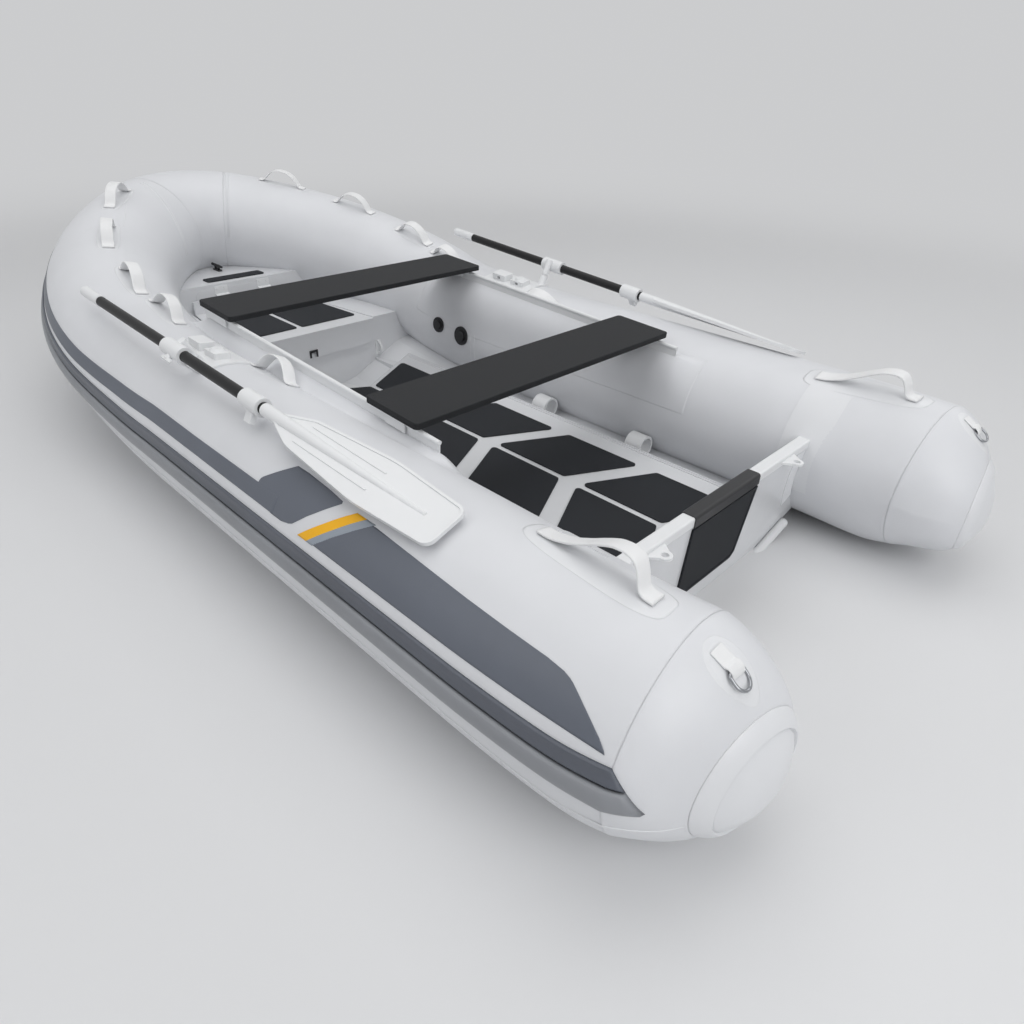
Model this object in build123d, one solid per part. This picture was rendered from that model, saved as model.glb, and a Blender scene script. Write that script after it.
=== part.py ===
from build123d import *
import math
import os

# Rigid inflatable tender: a U of inflated tubes bonded round a vee hull, with a raised
# floor, a bow locker under a hinged lid, two sliding benches and a stowed pair of oars.
# Millimetres. +X to the bow, +Y to port, +Z up, Z = 0 at the waterline amidships.
# Port pieces are modelled and the starboard ones are their mirror images.

# ---------------------------------------------------------------- driving dimensions
bond_gap = 0.3            # glue line between curved skins
running_gap = 0.5         # slack round a sliding bead

# inflated tubes
tube_radius = 215.0
tube_spacing = 1270.0     # between the axes of the two side tubes
tube_axis_z = 225.0
stern_seam_x = -1540.0    # end of the straight tube, start of the stern cone
rocker_start_x = 24.0     # where the tubes begin to rise to the bow
rocker_radius = 2100.0
bow_pitch = 12.9          # slope of the bow's plane, degrees
shoulder_radius = 1240.0
shoulder_turn = 48.8      # degrees of turn before the nose
bow_panel_half = 165.0    # half the length of the nose panel along the tube

# stern cones
cone_length = 118.0
cone_mid_step = 32.0      # fall of the radius at half the cone's length
cone_end_step = 83.0      # fall of the radius at the cone's end
cap_band = 14.0           # bevelled band that the cap is bonded to
cap_step = 20.0           # fall of the radius across that band
cap_length = 26.0

# rub strakes, as angles on the tube from straight outboard
strake_top = 19.0
strake_break = 8.5
strake_foot = -3.5
strake_thickness = 6.0
bead_radius = 21.0

# hull
gutter_z = 70.0           # inner bottom beside the floor and top of the closed hull
skin = 16.0
well_half = 300.0

# floor
floor_top_z = 143.0
floor_half = 325.0
floor_fore_x = 170.0      # tip of the vee that ends the floor, on the centreline
floor_vee = 180.0         # how much farther forward the vee's ends are
floor_edge = 6.0
floor_aft_margin = 20.0   # bare floor in front of the transom
floor_fore_margin = 26.0  # bare floor along the vee
ridge_pitch = 12.0
ridge_width = 5.0
ridge_height = 3.0
groove_width = 22.0
pad_thickness = 4.0
pad_outer = 228.0
pad_sweep = 110.0         # fore and aft offset of a pad's outer edge
pad_length = 274.0
pad_pitch = 340.0
pad_fore_x = -147.0       # inner fore corner of the foremost whole pad
pad_rows = 4
pad_corner = 11.0

# transom
transom_x = -1240.0       # fore face of the transom under the bar
transom_rake = 4.5        # slope of the transom, its foot forward, degrees
transom_thickness = 30.0
bar_width = 35.0
bar_corner = 5.0
bar_overhang = 2.0        # of the bar past the transom's fore face
bar_top_z = 310.0
bar_height = 26.0
motor_pad_half = 149.0
motor_pad_taper = 12.0    # narrowing of each side towards the foot
motor_pad_thickness = 6.0
motor_pad_rim = 9.0
motor_pad_dish = 1.2      # depth of the ribbed face inside the rim
motor_pad_corner = 16.0
motor_pad_foot_z = 62.0
cap_sheet = 3.0
flange_reach = 50.0       # width of the fabric flanges on the transom
flange_sheet = 2.0
flange_low = 150.0
flange_high = 205.0
tow_eye_y = 305.0
tow_eye_reach = 26.0
tow_eye_bore = 9.0
tow_eye_rim = 8.0
tow_eye_sheet = 6.0

# bench rails and benches
slider_inset = 23.0       # from the bench's end to the rail
rail_aft_x = -790.0
rail_fore_x = 325.0
rail_pitch = 2.8          # slope of the rails, degrees
rail_ref_x = -638.0       # where rail_ref_z is taken
rail_ref_z = 436.0        # centre of the bead
rail_bead = 6.0
rail_fin = 4.0
fin_depth = 110.0         # more than reaches the tube's skin
bench_length = 1009.0
bench_depth = 195.5
bench_sheet = 16.0
bench_corner = 12.0
bench_edge = 2.5
bench_aft_x = -638.0
bench_fore_x = 217.0
slider_length = 74.0
slider_wall = 3.0
slider_head = 9.0         # thickness of the slider between the bead and the bench
slider_drop = 20.0

# bow locker
locker_face_x = 555.0
locker_wall = 12.0
mouth_margin = 30.0       # how far the lid's apron laps over the mouth's sides
mouth_sill = 12.0         # and over its sill
lid_top_z = 246.0
lid_sheet = 12.0
lid_aft_x = 538.0
lid_half_aft = 300.0
lid_half_fore = 232.0
lid_gap = 5.5
apron_foot_z = 145.0
apron_corner = 60.0
hinge_x = 1046.0
hinge_z = 301.0
hinge_radius = 6.0
hinge_pin_radius = 3.0
hinge_length = 56.0
hinge_y = 95.0
hinge_setback = 8.0       # of the lid's fore edge behind the pin
riser_x = 1056.0
step_top_z = 345.0
deck_sheet = 9.0
riser_panel_half = 205.0
riser_margin = 18.0
riser_panel_sheet = 1.5
locker_aft_half = 285.0
locker_fore_half = 205.0
lid_pad_aft_x = 618.0
lid_pad_fore_x = 930.0
lid_pad_outer_aft = 262.0
lid_pad_outer_fore = 236.0
lid_pad_inner = 11.0
step_pad_x = 1118.0
step_pad_depth = 58.0
step_pad_length = 256.0

# webbing loops on the tubes: distance along the tube from the stern seam, angle
loop_table = [            # along, angle
    (1371.0, 117.0),
    (1971.0, 106.0),
    (2211.0, 101.0),
    (2561.0, 93.0),
    (2911.0, 85.0),
]
loop_span = 124.0         # between the inner ends of a loop's feet
loop_foot = 20.0
loop_height = 50.0
loop_crown = 34.0         # flat length of the crown before rounding
loop_lead = 20.0          # how far ahead of the middle the crown lies
loop_corner = 24.0
loop_width = 38.0
loop_sheet = 4.0
patch_margin = 15.0       # patch showing round a strap
patch_sheet = 2.0

# moulded stern handles
handle_along = 215.0
handle_angle = 96.0
handle_length = 215.0     # between the inner ends of its feet
handle_foot = 36.0
handle_height = 60.0
handle_crown = 50.0
handle_lead = -66.0       # the crown lies aft of the middle
handle_corner = 30.0
handle_width = 40.0
handle_sheet = 7.0

# oars: the shaft's axis at the rowlock, its direction, then distances along it
oar_x = -50.0
oar_y = 735.0
oar_z = 502.0
oar_rise = 0.0584         # rise and outward drift for each millimetre forward
oar_drift = 0.0224
shaft_radius = 14.5
grip_radius = 16.0
grip_aft = 463.0
grip_fore = 579.0
neck_fore = -425.0
blade_root = -480.0
blade_shoulder = -570.0
blade_wide = -820.0
blade_tip = -1033.0
blade_root_half = 15.0
blade_shoulder_half = 46.0
blade_wide_half = 65.0
blade_tip_half = 53.0
blade_corner = 22.0
blade_shoulder_bend = 110.0
blade_wide_bend = 500.0
blade_sheet = 9.0
blade_rim = 6.0
blade_dish = 2.2          # depth of each face inside the rim
blade_rib_y = 27.0
blade_rib = 4.0
blade_spine_end = 60.0    # from the tip
blade_tilt = 18.0
clip_at = -415.0
clip_length = 73.0
clip_radius = 23.0
clip_lug = 26.0           # length and drop of the lug under the clip
clip_lug_width = 14.0

# rowlocks: the pin's foot on the tube and distances along the pin
oar_lean = 26.5           # lean of the pin outboard, degrees
pivot_x = -45.0
pivot_angle = 80.0
pivot_radius = 6.0
pin_slack = 0.1
pin_foot = 12.0
socket_top = 38.0
lug_foot = 43.0
lug_top = 98.0
lug_radius = 12.0
clamp_length = 93.0
clamp_radius = 23.0
base_aft_x = -66.0
base_fore_x = 185.0
base_low_angle = 74.0
base_high_angle = 116.0
base_sheet = 5.0
base_block_angle = 97.0
base_block_width = 46.0
base_blocks = [           # x, length, height
    (4.0, 66.0, 18.0),
    (108.0, 70.0, 24.0),
]
base_dome_radius = 22.0
base_dome_height = 8.0
base_slot = 16.0          # width of the slots in the blocks

# tie rings beside the floor, inflation valves and stern rings
tie_ring_radius = 38.0
tie_ring_wall = 7.0
tie_ring_length = 60.0
tie_ring_table = [-331.0, -747.0]        # x of each ring's middle
tie_ring_y = 405.0
tie_patch_length = 110.0
tie_patch_width = 70.0
tie_patch_angle = 214.0
valve_table = [           # along, disc radius
    (1676.0, 36.0),
    (1812.0, 30.0),
]
valve_angle = 175.0
stern_ring_share = 0.54   # share of the cone's curve from the seam to the ring's bar
stern_ring_angle = 97.5
stern_ring_wire = 2.8
stern_ring_half = 20.0    # half the width of the D, at the wire's middle
stern_ring_leg = 14.0     # straight legs between the bar and the bow of the D
stern_ring_bend = 7.0
stern_ring_lift = 6.2
stern_strap_length = 34.0
stern_strap_width = 33.0
stern_strap_sheet = 4.0

# bow fittings, keel strip, transom lip and tapes
apron_sheet = 10.0
latch_slot = 22.0
latch_rise = 24.0
latch_rim = 7.0
latch_sheet = 4.0
hinge_sheet = 3.0
hinge_bolt_y = 15.0
hinge_bolt_z = 326.0
hinge_bolt_radius = 4.0
cleat_gap = 6.2           # from the cleat's horn to the bow tube
cleat_height = 20.0
cleat_length = 90.0
cleat_post = 14.0         # of each post from the middle
cleat_radius = 5.5
padeye_y = 320.0
padeye_low_z = 82.0
padeye_high_z = 145.0
padeye_half = 13.0
padeye_sheet = 4.0
padeye_radius = 24.0
padeye_wire = 5.0
lip_radius = 13.0
keel_half = 14.0
keel_depth = 7.0
bow_eye_x = 1272.0
bow_eye_z = 176.0
bow_eye_radius = 17.0
bow_eye_wire = 4.5
tape_width = 45.0
tape_low = 116.0
tape_high = 200.0

os.makedirs("parts", exist_ok=True)


# ---------------------------------------------------------------- path of the tubes
half_spacing = tube_spacing / 2
pitch = math.radians(bow_pitch)
turn = math.radians(shoulder_turn)
bow_ahead = Vector(math.cos(pitch), 0, math.sin(pitch))
bow_up = Vector(-math.sin(pitch), 0, math.cos(pitch))
rocker_end = Vector(
    rocker_start_x + rocker_radius * math.sin(pitch),
    half_spacing,
    tube_axis_z + rocker_radius * (1 - math.cos(pitch)),
)
shoulder_centre = rocker_end - Vector(0, shoulder_radius, 0)
nose_out = bow_ahead * math.sin(turn) + Vector(0, math.cos(turn), 0)
shoulder_end = shoulder_centre + nose_out * shoulder_radius
nose_radius = shoulder_end.Y / math.cos(turn)
nose_centre = shoulder_end - nose_out * nose_radius

# each span: start point, tangent, outward, length, centre of turn, axis of turn, radius
straight_length = rocker_start_x - stern_seam_x
spans = [
    (Vector(stern_seam_x, half_spacing, tube_axis_z), Vector(1, 0, 0), Vector(0, 1, 0),
     straight_length, None, None, None),
    (Vector(rocker_start_x, half_spacing, tube_axis_z), Vector(1, 0, 0), Vector(0, 1, 0),
     rocker_radius * pitch,
     Vector(rocker_start_x, half_spacing, tube_axis_z + rocker_radius), Vector(0, -1, 0),
     rocker_radius),
    (rocker_end, bow_ahead, Vector(0, 1, 0), shoulder_radius * turn, shoulder_centre,
     bow_up * -1, shoulder_radius),
    (shoulder_end, nose_out.rotate(Axis((0, 0, 0), bow_up), -90), nose_out,
     nose_radius * (math.pi / 2 - turn), nose_centre, bow_up * -1, nose_radius),
]
side_length = sum(span[3] for span in spans)


# plane across the tube at a distance along it: x outward, y up, z along the tube
def section_at(along):
    start_of_span = 0.0
    for start, ahead, out, length, centre, spin, radius in spans:
        inside = along - start_of_span
        if inside <= length or span_is_last(start):
            if centre is None:
                return Plane(start + ahead * inside, x_dir=out, z_dir=ahead)
            angle = math.degrees(inside / radius)
            line = Axis((0, 0, 0), spin)
            arm = (start - centre).rotate(line, angle)
            return Plane(centre + arm, x_dir=out.rotate(line, angle),
                         z_dir=ahead.rotate(line, angle))
        start_of_span += length


def span_is_last(start):
    return start == spans[-1][0]


# carries a flat profile along the tube's path from one distance to another
def carry(profile, begin, end):
    body = Part()
    start_of_span = 0.0
    for start, ahead, out, length, centre, spin, radius in spans:
        low = max(begin, start_of_span)
        high = min(end, start_of_span + length)
        if start_of_span == 0.0:
            low = begin
        if high - low > 0.01:
            face = section_at(low + (1e-9 if low > begin else 0)) * profile
            if centre is None:
                body += extrude(face, amount=high - low)
            else:
                arc = math.degrees((high - low) / radius)
                body += revolve(face, Axis(centre, spin), revolution_arc=arc)
        start_of_span += length
    return body


# plane on the tube's skin: x along the tube, z straight out of the skin
def on_tube(along, angle, lift=0.0):
    across = section_at(along)
    bearing = math.radians(angle)
    out = across.x_dir * math.cos(bearing) + across.y_dir * math.sin(bearing)
    return Plane(across.origin + out * (tube_radius + lift), x_dir=across.z_dir, z_dir=out)


# sector of a ring in the tube's cross-section
def band(inner, outer, low, high):
    rim = CenterArc((0, 0), outer, low, high - low)
    bore = CenterArc((0, 0), inner, low, high - low)
    return make_face([rim, Line(rim @ 1, bore @ 1), bore, Line(bore @ 0, rim @ 0)])


# sheet that follows the tube's skin
def patch(along, length, angle, width, sheet):
    half = math.degrees(width / 2 / tube_radius)
    inner = tube_radius + bond_gap
    profile = band(inner, inner + sheet, angle - half, angle + half)
    return carry(profile, along - length / 2, along + length / 2)


# side view of a strap that stands off the skin: a crown on two slopes, and two feet
def strap_side(span, foot, height, crown, lead, corner, sheet):
    root = -3 * sheet
    aft_run = (span - crown) / 2 + lead
    fore_run = (span - crown) / 2 - lead
    spread = 1 - root / height
    outer = make_face(Polyline(
        (lead - crown / 2 - aft_run * spread, root), (lead - crown / 2, height),
        (lead + crown / 2, height), (lead + crown / 2 + fore_run * spread, root), close=True))
    outer = fillet(outer.vertices().group_by(Axis.Y)[-1], corner)
    hollow = offset(outer, -sheet)
    side = (outer - hollow) & (Pos(0, -1) * Rectangle(
        2 * span, 2 * height, align=(Align.CENTER, Align.MIN)))
    for end in (-1, 1):
        side += Pos(end * (span / 2 + foot / 2 - sheet), -1) * Rectangle(
            foot + 2 * sheet, sheet + 1, align=(Align.CENTER, Align.MIN))
    return side


def polygon(points, corner=0.0):
    face = make_face(Polyline(*points, close=True))
    if corner:
        face = fillet(face.vertices(), corner)
    return face


def both(piece):
    return [piece, mirror(piece, about=Plane.XZ)]


def save(name, pieces):
    solids = []
    for piece in pieces if isinstance(pieces, list) else [pieces]:
        solids += piece.solids()
    shape = solids[0] if len(solids) == 1 else Compound(children=solids)
    shape.label = name
    export_step(shape, f"parts/{name}.step")


# ---------------------------------------------------------------- tubes, cones and caps
tube_profile = Circle(tube_radius)
side_tube = carry(tube_profile, 0, side_length - bow_panel_half)
bow_seam = side_length - bow_panel_half
bow_arc = math.degrees(2 * bow_panel_half / nose_radius)
bow_tube = revolve(section_at(bow_seam) * tube_profile, Axis(nose_centre, bow_up * -1),
                   revolution_arc=bow_arc)
save("tube_port", side_tube)
save("tube_starboard", mirror(side_tube, about=Plane.XZ))
save("tube_bow", bow_tube)

# room for the tubes, cut from whatever they are bonded to
snug_profile = Circle(tube_radius + bond_gap)
snug_side = carry(snug_profile, -cone_length, side_length)
cone_mid_radius = tube_radius - cone_mid_step
cone_end_radius = tube_radius - cone_end_step
cap_radius = cone_end_radius - cap_step
snug_tubes = snug_side + mirror(snug_side, about=Plane.XZ)


# a turned piece about the stern end of the port tube's axis
def stern_turned(outline):
    profile = make_face(outline)
    turned = revolve(Plane.XY * profile, Axis.X)
    return Pos(stern_seam_x, half_spacing, tube_axis_z) * turned


# outline of a stern cone grown by an even layer
def cone_outline(layer):
    end = -cone_length
    return [
        ThreePointArc((0, tube_radius + layer), (end / 2, cone_mid_radius + layer),
                      (end, cone_end_radius + layer)),
        Line((end, cone_end_radius + layer), (end, 0)),
        Line((end, 0), (0, 0)),
        Line((0, 0), (0, tube_radius + layer)),
    ]


def stern_cone():
    return stern_turned(cone_outline(0))


def stern_cap():
    root = -cone_length
    rim = root - cap_band
    tip = rim - cap_length
    dome_radius = (cap_radius ** 2 + cap_length ** 2) / (2 * cap_length)
    dome_turn = math.asin(cap_radius / dome_radius) / 2
    bulge = ThreePointArc(
        (rim, cap_radius),
        (tip + dome_radius * (1 - math.cos(dome_turn)), dome_radius * math.sin(dome_turn)),
        (tip, 0))
    return stern_turned([
        Line((root, 0), (root, cone_end_radius)),
        Line((root, cone_end_radius), (rim, cap_radius)),
        bulge,
        Line((tip, 0), (root, 0)),
    ])


for side, cone, cap in zip(("port", "starboard"), both(stern_cone()), both(stern_cap())):
    save(f"cone_{side}", cone)
    save(f"cap_{side}", cap)

# ---------------------------------------------------------------- rub strakes
strake_inner = tube_radius + bond_gap
upper_band = carry(
    band(strake_inner, strake_inner + strake_thickness, strake_break, strake_top),
    -30, side_length)
bead_mid = math.radians((strake_break + strake_foot) / 2)
bead_room = band(strake_inner, strake_inner + bead_radius, strake_foot, strake_break)
bead_round = Pos((tube_radius - 4) * math.cos(bead_mid),
                 (tube_radius - 4) * math.sin(bead_mid)) * Circle(bead_radius)
lower_bead = carry(bead_room & bead_round, -40, side_length)
for side, upper, lower in zip(("port", "starboard"), both(upper_band), both(lower_bead)):
    save(f"strake_band_{side}", upper)
    save(f"strake_bead_{side}", lower)

# ---------------------------------------------------------------- hull
# cross-sections from aft to fore: x, keel z, knuckle y and z, chine y and z, edge y and z
hull_table = [
    (-1320.0, -65.0, 200.0, -38.0, 430.0, 40.0, 560.0, 72.0),
    (24.0, -65.0, 200.0, -38.0, 430.0, 42.0, 560.0, 74.0),
    (555.0, -42.0, 195.0, -4.0, 425.0, 104.0, 560.0, 130.0),
    (1000.0, 50.0, 150.0, 122.0, 300.0, 220.0, 430.0, 250.0),
    (1250.0, 165.0, 90.0, 225.0, 150.0, 262.0, 290.0, 300.0),
    (1425.0, 280.0, 20.0, 288.0, 40.0, 296.0, 70.0, 306.0),
]
hull_ceiling = 460.0
far = 2000.0

# raked plane of the transom's fore face: x to port, y up the face, z forward
rake = math.radians(transom_rake)
bar_foot_z = bar_top_z - bar_height
transom_face = Plane((transom_x, 0, bar_foot_z), x_dir=(0, 1, 0),
                     z_dir=(math.cos(rake), 0, math.sin(rake)))


def hull_section(row):
    x, keel, knuckle_y, knuckle_z, chine_y, chine_z, edge_y, edge_z = row
    half = [(0, keel), (knuckle_y, knuckle_z), (chine_y, chine_z), (edge_y, edge_z),
            (edge_y, hull_ceiling)]
    points = half + [(-y, z) for y, z in reversed(half[1:])]
    return Plane((x, 0, 0), x_dir=(0, 1, 0), z_dir=(1, 0, 0)) * polygon(points)


def block(low, high):
    size = [b - a for a, b in zip(low, high)]
    return Pos(*low) * Box(*size, align=(Align.MIN, Align.MIN, Align.MIN))


# everything below the hull's inner skin
def below_skin(row):
    x, keel, knuckle_y, knuckle_z, chine_y, chine_z, edge_y, edge_z = row
    half = [(0, keel + skin), (knuckle_y, knuckle_z + skin), (chine_y, chine_z + skin),
            (edge_y, edge_z + skin), (edge_y, -hull_ceiling)]
    points = half + [(-y, z) for y, z in reversed(half[1:])]
    return Plane((x, 0, 0), x_dir=(0, 1, 0), z_dir=(1, 0, 0)) * polygon(points)


hull_form = loft([hull_section(row) for row in hull_table], ruled=True) - snug_tubes
inner_bottom = loft([below_skin(row) for row in hull_table], ruled=True)
beam = tube_spacing + 2 * tube_radius

# everything above the inner bottom, the side decks and the step is cut away
clear_above = (
    (block((-far, -beam, gutter_z), (locker_face_x, beam, far)) - inner_bottom)
    + block((locker_face_x - 1, -beam, lid_top_z - deck_sheet), (riser_x, beam, far))
    + block((riser_x - 1, -beam, step_top_z - deck_sheet), (far, beam, far))
)
behind_transom = extrude(transom_face * Rectangle(2 * beam, 2 * far), amount=-far)


# open well between the floor's vee and the locker
well_plan = polygon([
    (floor_fore_x, 0), (floor_fore_x + floor_vee * well_half / floor_half, well_half),
    (locker_face_x, well_half), (locker_face_x, -well_half),
    (floor_fore_x + floor_vee * well_half / floor_half, -well_half),
])
well_cut = extrude(Pos(0, 0, -far) * well_plan, amount=far + gutter_z + 1)
well = well_cut - inner_bottom

# hollow of the locker
locker_plan = polygon([
    (locker_face_x - 1, -locker_aft_half), (hinge_x - 20, -locker_fore_half),
    (hinge_x - 20, locker_fore_half), (locker_face_x - 1, locker_aft_half),
])
locker_hollow = extrude(locker_plan, amount=far)
locker_hollow = locker_hollow - inner_bottom

hull_body = hull_form - clear_above - behind_transom - well - locker_hollow

# ---------------------------------------------------------------- floor and its pads
floor_plan = polygon([
    (transom_x, -floor_half), (floor_fore_x + floor_vee, -floor_half), (floor_fore_x, 0),
    (floor_fore_x + floor_vee, floor_half), (transom_x, floor_half),
])
floor_deck = extrude(Pos(0, 0, gutter_z) * floor_plan, amount=floor_top_z - gutter_z)
floor_deck -= behind_transom
top_edges = floor_deck.edges().group_by(Axis.Z)[-1].filter_by(
    lambda edge: edge.center().X > transom_x + floor_aft_margin)
floor_deck = fillet(top_edges, floor_edge)
ridge = Box(floor_fore_x + floor_vee - transom_x - 2 * floor_aft_margin - ridge_pitch,
            ridge_width, ridge_height, align=(Align.MIN, Align.CENTER, Align.MIN))
for ridge_y in (floor_half - ridge_pitch, floor_half - 2 * ridge_pitch):
    for place in (ridge_y, -ridge_y):
        floor_deck += Pos(transom_x + floor_aft_margin, place, floor_top_z) * ridge
save("floor_deck", floor_deck)

pad_inner = groove_width / 2
pads = []
aft_limit = transom_x + floor_aft_margin
for row in range(pad_rows):
    fore = pad_fore_x - row * pad_pitch
    aft = fore - pad_length
    corners = [(fore, pad_inner), (aft, pad_inner), (aft - pad_sweep, pad_outer),
               (fore - pad_sweep, pad_outer)]
    plan = polygon(corners, pad_corner)
    if aft - pad_sweep < aft_limit:
        plan = plan & (Pos(aft_limit, 0) * Rectangle(
            far, 2 * pad_outer, align=(Align.MIN, Align.CENTER)))
    pads += both(extrude(Pos(0, 0, floor_top_z) * plan, amount=pad_thickness))
fore_aft_x = pad_fore_x + pad_pitch - pad_length
edge_slope = floor_vee / floor_half
fore_pad = polygon([
    (fore_aft_x, pad_inner), (fore_aft_x - pad_sweep, pad_outer),
    (floor_fore_x - floor_fore_margin + edge_slope * pad_outer, pad_outer),
    (floor_fore_x - floor_fore_margin + edge_slope * pad_inner, pad_inner),
], pad_corner)
pads += both(extrude(Pos(0, 0, floor_top_z) * fore_pad, amount=pad_thickness))
save("floor_pads", pads)

# ---------------------------------------------------------------- transom
x, keel, knuckle_y, knuckle_z, chine_y, chine_z, edge_y, edge_z = hull_table[0]
transom_half = [(0, keel), (knuckle_y, knuckle_z), (chine_y, chine_z), (edge_y, edge_z),
                (edge_y, bar_top_z)]
face_half = [(y, (z - bar_foot_z) / math.cos(rake)) for y, z in transom_half]
transom_outline = polygon(face_half + [(-y, z) for y, z in reversed(face_half[1:])])
transom_panel = extrude(transom_face * transom_outline, amount=-transom_thickness)
transom_panel = transom_panel - snug_tubes - block((-far, -beam, bar_foot_z), (far, beam, far))
save("transom_panel", transom_panel)

bar_fore_x = transom_x + bar_overhang
bar_aft_x = bar_fore_x - bar_width
transom_bar = block((bar_aft_x, -half_spacing, bar_foot_z),
                    (bar_fore_x, half_spacing, bar_top_z))
transom_bar = fillet(transom_bar.edges().filter_by(Axis.Y), bar_corner) - snug_tubes
save("transom_bar", transom_bar)

cap_shell = block((bar_aft_x - cap_sheet, -motor_pad_half, bar_foot_z),
                  (bar_fore_x + cap_sheet, motor_pad_half, bar_top_z + cap_sheet))
cap_shell = fillet(cap_shell.edges().filter_by(Axis.Y).group_by(Axis.Z)[-1],
                   bar_corner + cap_sheet)
cap_room = block((bar_aft_x, -motor_pad_half - 1, bar_foot_z - 2 * bar_corner),
                 (bar_fore_x, motor_pad_half + 1, bar_top_z))
cap_shell -= fillet(cap_room.edges().filter_by(Axis.Y), bar_corner)
save("transom_cap", cap_shell)

# ribbed pad for the motor's clamp, narrowing to its foot
transom_back = Plane(transom_face.origin - transom_face.z_dir * transom_thickness,
                     x_dir=(0, 1, 0), z_dir=transom_face.z_dir)
pad_drop = (motor_pad_foot_z - bar_foot_z) / math.cos(rake)
pad_foot_half = motor_pad_half - motor_pad_taper
pad_top = -3.0
motor_plan = polygon([
    (-motor_pad_half, pad_top), (motor_pad_half, pad_top),
    (pad_foot_half, pad_drop + motor_pad_corner), (pad_foot_half - motor_pad_corner, pad_drop),
    (motor_pad_corner - pad_foot_half, pad_drop), (-pad_foot_half, pad_drop + motor_pad_corner),
])
motor_pad = extrude(transom_back * motor_plan, amount=-motor_pad_thickness)
pad_dish = extrude(transom_back * offset(motor_plan, -motor_pad_rim),
                   amount=-motor_pad_thickness)
motor_pad -= pad_dish.translate(transom_back.z_dir * (motor_pad_dish - motor_pad_thickness))
save("motor_pad", motor_pad)


def tow_eye():
    eye_radius = tow_eye_bore + tow_eye_rim
    ring = Circle(eye_radius)
    web = polygon([(tow_eye_reach, -2.2 * eye_radius), (tow_eye_reach, 2.2 * eye_radius),
                   (0, eye_radius), (0, -eye_radius)])
    plate = (ring + web) - Circle(tow_eye_bore)
    low = bar_foot_z + (bar_height - tow_eye_sheet) / 2
    return Pos(bar_aft_x - tow_eye_reach, tow_eye_y, low) * extrude(plate, amount=tow_eye_sheet)


save("tow_eyes", both(tow_eye()))

# ---------------------------------------------------------------- bench rails
slope = math.radians(rail_pitch)
rail_y = bench_length / 2 - slider_inset
rail_plane = Plane((rail_ref_x, rail_y, rail_ref_z), x_dir=(0, 1, 0),
                   z_dir=(math.cos(slope), 0, math.sin(slope)))


def along_rail(x):
    return (x - rail_ref_x) / math.cos(slope)


def rail_piece(profile, aft_x, fore_x):
    start = Plane(rail_plane.origin + rail_plane.z_dir * along_rail(aft_x),
                  x_dir=rail_plane.x_dir, z_dir=rail_plane.z_dir)
    return extrude(start * profile, amount=along_rail(fore_x) - along_rail(aft_x))


rail_profile = Circle(rail_bead) + Pos(0, -fin_depth / 2) * Rectangle(rail_fin, fin_depth)
rail = rail_piece(rail_profile, rail_aft_x, rail_fore_x) - snug_side
rail = rail.solids().sort_by(Axis.Z)[-1]
save("rails", both(rail))


# ---------------------------------------------------------------- benches
def bench(centre_x):
    plane = Plane(rail_plane.origin + rail_plane.z_dir * along_rail(centre_x)
                  - Vector(0, rail_y, 0),
                  x_dir=(math.cos(slope), 0, math.sin(slope)),
                  z_dir=(-math.sin(slope), 0, math.cos(slope)))
    seat_z = rail_bead + running_gap + slider_head
    board = plane * (Pos(0, 0, seat_z) * Box(
        bench_depth, bench_length, bench_sheet, align=(Align.CENTER, Align.CENTER, Align.MIN)))
    board = fillet(board.edges().sort_by(SortBy.LENGTH)[:4], bench_corner)
    board = fillet(board.edges().group_by(Axis(plane.origin, plane.z_dir))[-1], bench_edge)
    inner = rail_bead + running_gap
    outer = inner + slider_wall
    channel = Rectangle(2 * outer, slider_head + inner + slider_drop,
                        align=(Align.CENTER, Align.MAX))
    room = Pos(0, -slider_head) * Rectangle(2 * inner, far, align=(Align.CENTER, Align.MAX))
    profile = Pos(0, seat_z) * (channel - room)
    slider = rail_piece(profile, centre_x - slider_length / 2, centre_x + slider_length / 2)
    return board, both(slider)


for name, centre_x in (("aft", bench_aft_x), ("fore", bench_fore_x)):
    board, sliders = bench(centre_x)
    save(f"bench_{name}", board)
    save(f"bench_{name}_sliders", sliders)

# ---------------------------------------------------------------- bow locker and deck
lid_underside = lid_top_z - lid_sheet
apron_aft_x = lid_aft_x

# room that the lid sits in
lid_well = extrude(Pos(0, 0, lid_underside - lid_gap) * polygon([
    (locker_face_x - 20, -lid_half_aft - lid_gap), (riser_x, -lid_half_fore - lid_gap),
    (riser_x, lid_half_fore + lid_gap), (locker_face_x - 20, lid_half_aft + lid_gap),
]), amount=far)

# bulkhead at the aft end of the locker, open where the lid's apron covers it
face_plate = block((locker_face_x, -beam, -far),
                   (locker_face_x + locker_wall, beam, lid_top_z - deck_sheet))
face_form = (face_plate & hull_form) - inner_bottom
mouth_half = lid_half_aft - mouth_margin
mouth = block((locker_face_x - 1, -mouth_half, apron_foot_z + mouth_sill),
              (locker_face_x + locker_wall + 1, mouth_half, far))
locker_face = face_form - mouth - lid_well
locker_face = locker_face.solids().sort_by(SortBy.VOLUME)[-1]
save("locker_face", locker_face)

# side decks, riser and step as one moulded sheet
side_deck = block((locker_face_x, -beam, lid_top_z - deck_sheet), (riser_x, beam, lid_top_z))
step_deck = block((riser_x, -beam, step_top_z - deck_sheet), (far, beam, step_top_z))
riser = block((riser_x, -beam, lid_top_z - deck_sheet), (riser_x + deck_sheet, beam, step_top_z))
deck_form = (side_deck - lid_well) + step_deck + riser
deck_reach = loft([hull_section(row) for row in hull_table], ruled=True)
nose_axis = nose_centre + bow_ahead * nose_radius
bow_deck = (deck_form & deck_reach) - snug_tubes - block((nose_axis.X, -beam, 0), (far, beam, far))

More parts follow.
